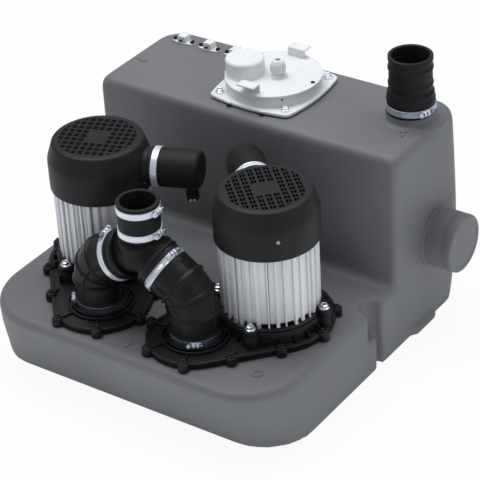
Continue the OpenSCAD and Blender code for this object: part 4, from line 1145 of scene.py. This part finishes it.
# %% Clips, screws and plug
clips = bmesh.new()
for side in (-1, 1):
    profile = soft([(-1.25, 0), (1.25, 0), (1.25, 11.5, 1.2), (17, 11.5, 0.4), (17, 14, 0.4),
                    (-1.25, 14, 1.6)], 4, True)
    facing = 0 if side > 0 else 180
    spot = LID @ at(1.5, side * 61, LID_TOP, rz=facing)
    put(clips, prism(profile, -15, 15, 0.5, 2), spot @ at(rx=90, rz=90))
piece("cover_clip_skin", clips, [WHITE], ["cover_clips"], sharp=40)

whole = bmesh.new()
for x, y in LID_SCREWS:
    flange_bolt(whole, LID @ at(x, y, 6.2, rz=x + y * 0.3), 2.9, 12)
piece("cover_screw_skin", whole, [BRIGHT_ZINC], ["cover_screws"])

plug = [(0, 0.9), (1.6, 0.9, 0.3), (1.9, 1.6, 0.3), (3.2, 1.6, 0.6), (3.4, 0), (0, 0)]
whole = placed(turned(plug, 3, 32), LID @ at(67.6, 3, 24.6))
side_screw = [(0, 1.2), (1.5, 1.2, 0.3), (1.5, 0), (0, 0)]
put(whole, turned(side_screw, 3, 20), LID @ at(49.3, -52.6, 18, rz=-46.8) @ at(ry=90, x=0.3))
for x, side in GASKET_TABS:
    put(whole, block((6.5, 6, 3.2), 0.6), LID @ at(x, side * 77.8, 0.1))
piece("cover_plug_skin", whole, [BLACK], ["cover_plugs"])

# %% [markdown]
# ## Cable clamps on the tank
# Three small clamps hold cables down: a pointed plate, an arched block and two screws. Plate and arch
# are flat shapes, so each is an outline raised once, the arch on its side.

# %% Cable clamps on the tank
plates = bmesh.new()
blocks = bmesh.new()
screws = bmesh.new()
for k in range(3):
    spot = at(-214 + 49 * k, 225, TANK_H)
    outline = soft([(22, 0, 5), (17, 5.6, 3), (8, 8, 2), (-8, 8, 2), (-17, 5.6, 3), (-22, 0, 5),
                    (-17, -5.6, 3), (-8, -8, 2), (8, -8, 2), (17, -5.6, 3)], 5, True)
    put(plates, prism(outline, 0, 2.5, 0.5), spot)
    arch = soft([(-7, 0), (-7, 11, 2.2), (7, 11, 2.2), (7, 0, 0.3), (3.2, 0, 0.3), (3.2, 5, 3),
                 (-3.2, 5, 3), (-3.2, 0, 0.3)], 5, True)
    put(blocks, prism(arch, -8, 8, 0.6), spot @ at(z=2.5, rx=90))
    for x in (-16, 16):
        head = [(1.3, 1.6), (1.7, 3.0, 0.4), (3.1, 3.0, 0.9), (4, 1, 0.5), (4, 0), (0, 0)]
        put(screws, turned(head, 4, 32), spot @ at(x, 0, 2.5))
        put(screws, lathe([(0, 1.6), (1.4, 1.6), (1.4, -6), (0, -6)], 16), spot @ at(x, 0, 2.5))
piece("cable_clamp_plate_skin", plates, [WHITE], ["cable_clamp_plates"])
piece("cable_clamp_block_skin", blocks, [WHITE], ["cable_clamp_blocks"])
piece("cable_clamp_screw_skin", screws, [BLACK], ["cable_clamp_screws"])

# %% [markdown]
# ## Lights
# A broad key lights the station from the upper left, a weak fill from the right, and a third lamp from
# over the rear. Small lamps throw hard shadows, so each is a disk about two metres wide. The world adds
# a cool, even light, and is white to the camera alone.

# %% Lights
def lamp(name, size, power, spot, aim):
    """A round area lamp, turned towards what it lights."""
    data = bpy.data.lights.new(name, "AREA")
    data.shape = "DISK"
    data.size = size
    data.energy = power
    obj = bpy.data.objects.new(name, data)
    obj.location = spot
    obj.rotation_mode = "QUATERNION"
    obj.rotation_quaternion = (Vector(aim) - Vector(spot)).to_track_quat("-Z", "Y")
    bpy.context.scene.collection.objects.link(obj)
    print(name, power, "watts")


lamp("key", 1.8, 39, (-0.7, 0.1, 2.6), (0, 0, 0.15))
lamp("fill", 2.0, 5, (2.6, 0.1, 1.5), (0, 0, 0.15))
lamp("top", 2.0, 19, (0.4, 1.0, 2.4), (0, 0.05, 0.2))

world = bpy.data.worlds.new("studio")
bpy.context.scene.world = world
world.use_nodes = True
nodes = world.node_tree.nodes
links = world.node_tree.links
ambient = nodes["Background"]
dial(ambient, {"Color": (0.92, 0.95, 1.0, 1), "Strength": 0.40})
white = nodes.new("ShaderNodeBackground")
dial(white, {"Color": (1, 1, 1, 1)})
path = nodes.new("ShaderNodeLightPath")
mix = nodes.new("ShaderNodeMixShader")
links.new(path.outputs["Is Camera Ray"], mix.inputs["Fac"])
links.new(ambient.outputs["Background"], mix.inputs[1])
links.new(white.outputs["Background"], mix.inputs[2])
links.new(mix.outputs["Shader"], nodes["World Output"].inputs["Surface"])

# %% [markdown]
# ## Floor
# The station stands on pale paper that meets a white world, so only its soft shadow shows. For the
# camera the paper is mostly plain white. To diffuse rays it also glows, a painted light that lights
# the station from below, though the paper is no lamp.

# %% Floor
WHITE_SHARE = 0.93
# Painted light: the paper glows this much to diffuse rays, though it is no lamp.
PAINTED_GLOW = 0.68

sheet = bmesh.new()
bmesh.ops.create_grid(sheet, x_segments=8, y_segments=8, size=9)
mesh = bpy.data.meshes.new("floor")
sheet.to_mesh(mesh)
sheet.free()
floor = bpy.data.objects.new("floor", mesh)
bpy.context.scene.collection.objects.link(floor)
paper = bpy.data.materials.new("paper")
paper.use_nodes = True
nodes = paper.node_tree.nodes
links = paper.node_tree.links
matt = nodes["Principled BSDF"]
dial(matt, {"Base Color": (0.86, 0.87, 0.88, 1), "Roughness": 0.85, "Emission Color": (0.95, 0.97, 1, 1)})
glow = nodes.new("ShaderNodeEmission")
path = nodes.new("ShaderNodeLightPath")
mix = nodes.new("ShaderNodeMixShader")
share = nodes.new("ShaderNodeMath")
painted_glow = nodes.new("ShaderNodeMath")
for node, amount, ray in ((share, WHITE_SHARE, "Is Camera Ray"), (painted_glow, PAINTED_GLOW, "Is Diffuse Ray")):
    node.operation = "MULTIPLY"
    node.inputs[1].default_value = amount
    links.new(path.outputs[ray], node.inputs[0])
# The paper's glow for diffuse rays is painted light on the station from below.
links.new(painted_glow.outputs["Value"], matt.inputs["Emission Strength"])
links.new(share.outputs["Value"], mix.inputs["Fac"])
links.new(matt.outputs["BSDF"], mix.inputs[1])
links.new(glow.outputs["Emission"], mix.inputs[2])
links.new(mix.outputs["Shader"], nodes["Material Output"].inputs["Surface"])
mesh.materials.append(paper)
bpy.context.scene.view_settings.view_transform = "Standard"
print("floor", [round(x, 1) for x in floor.dimensions], "m")
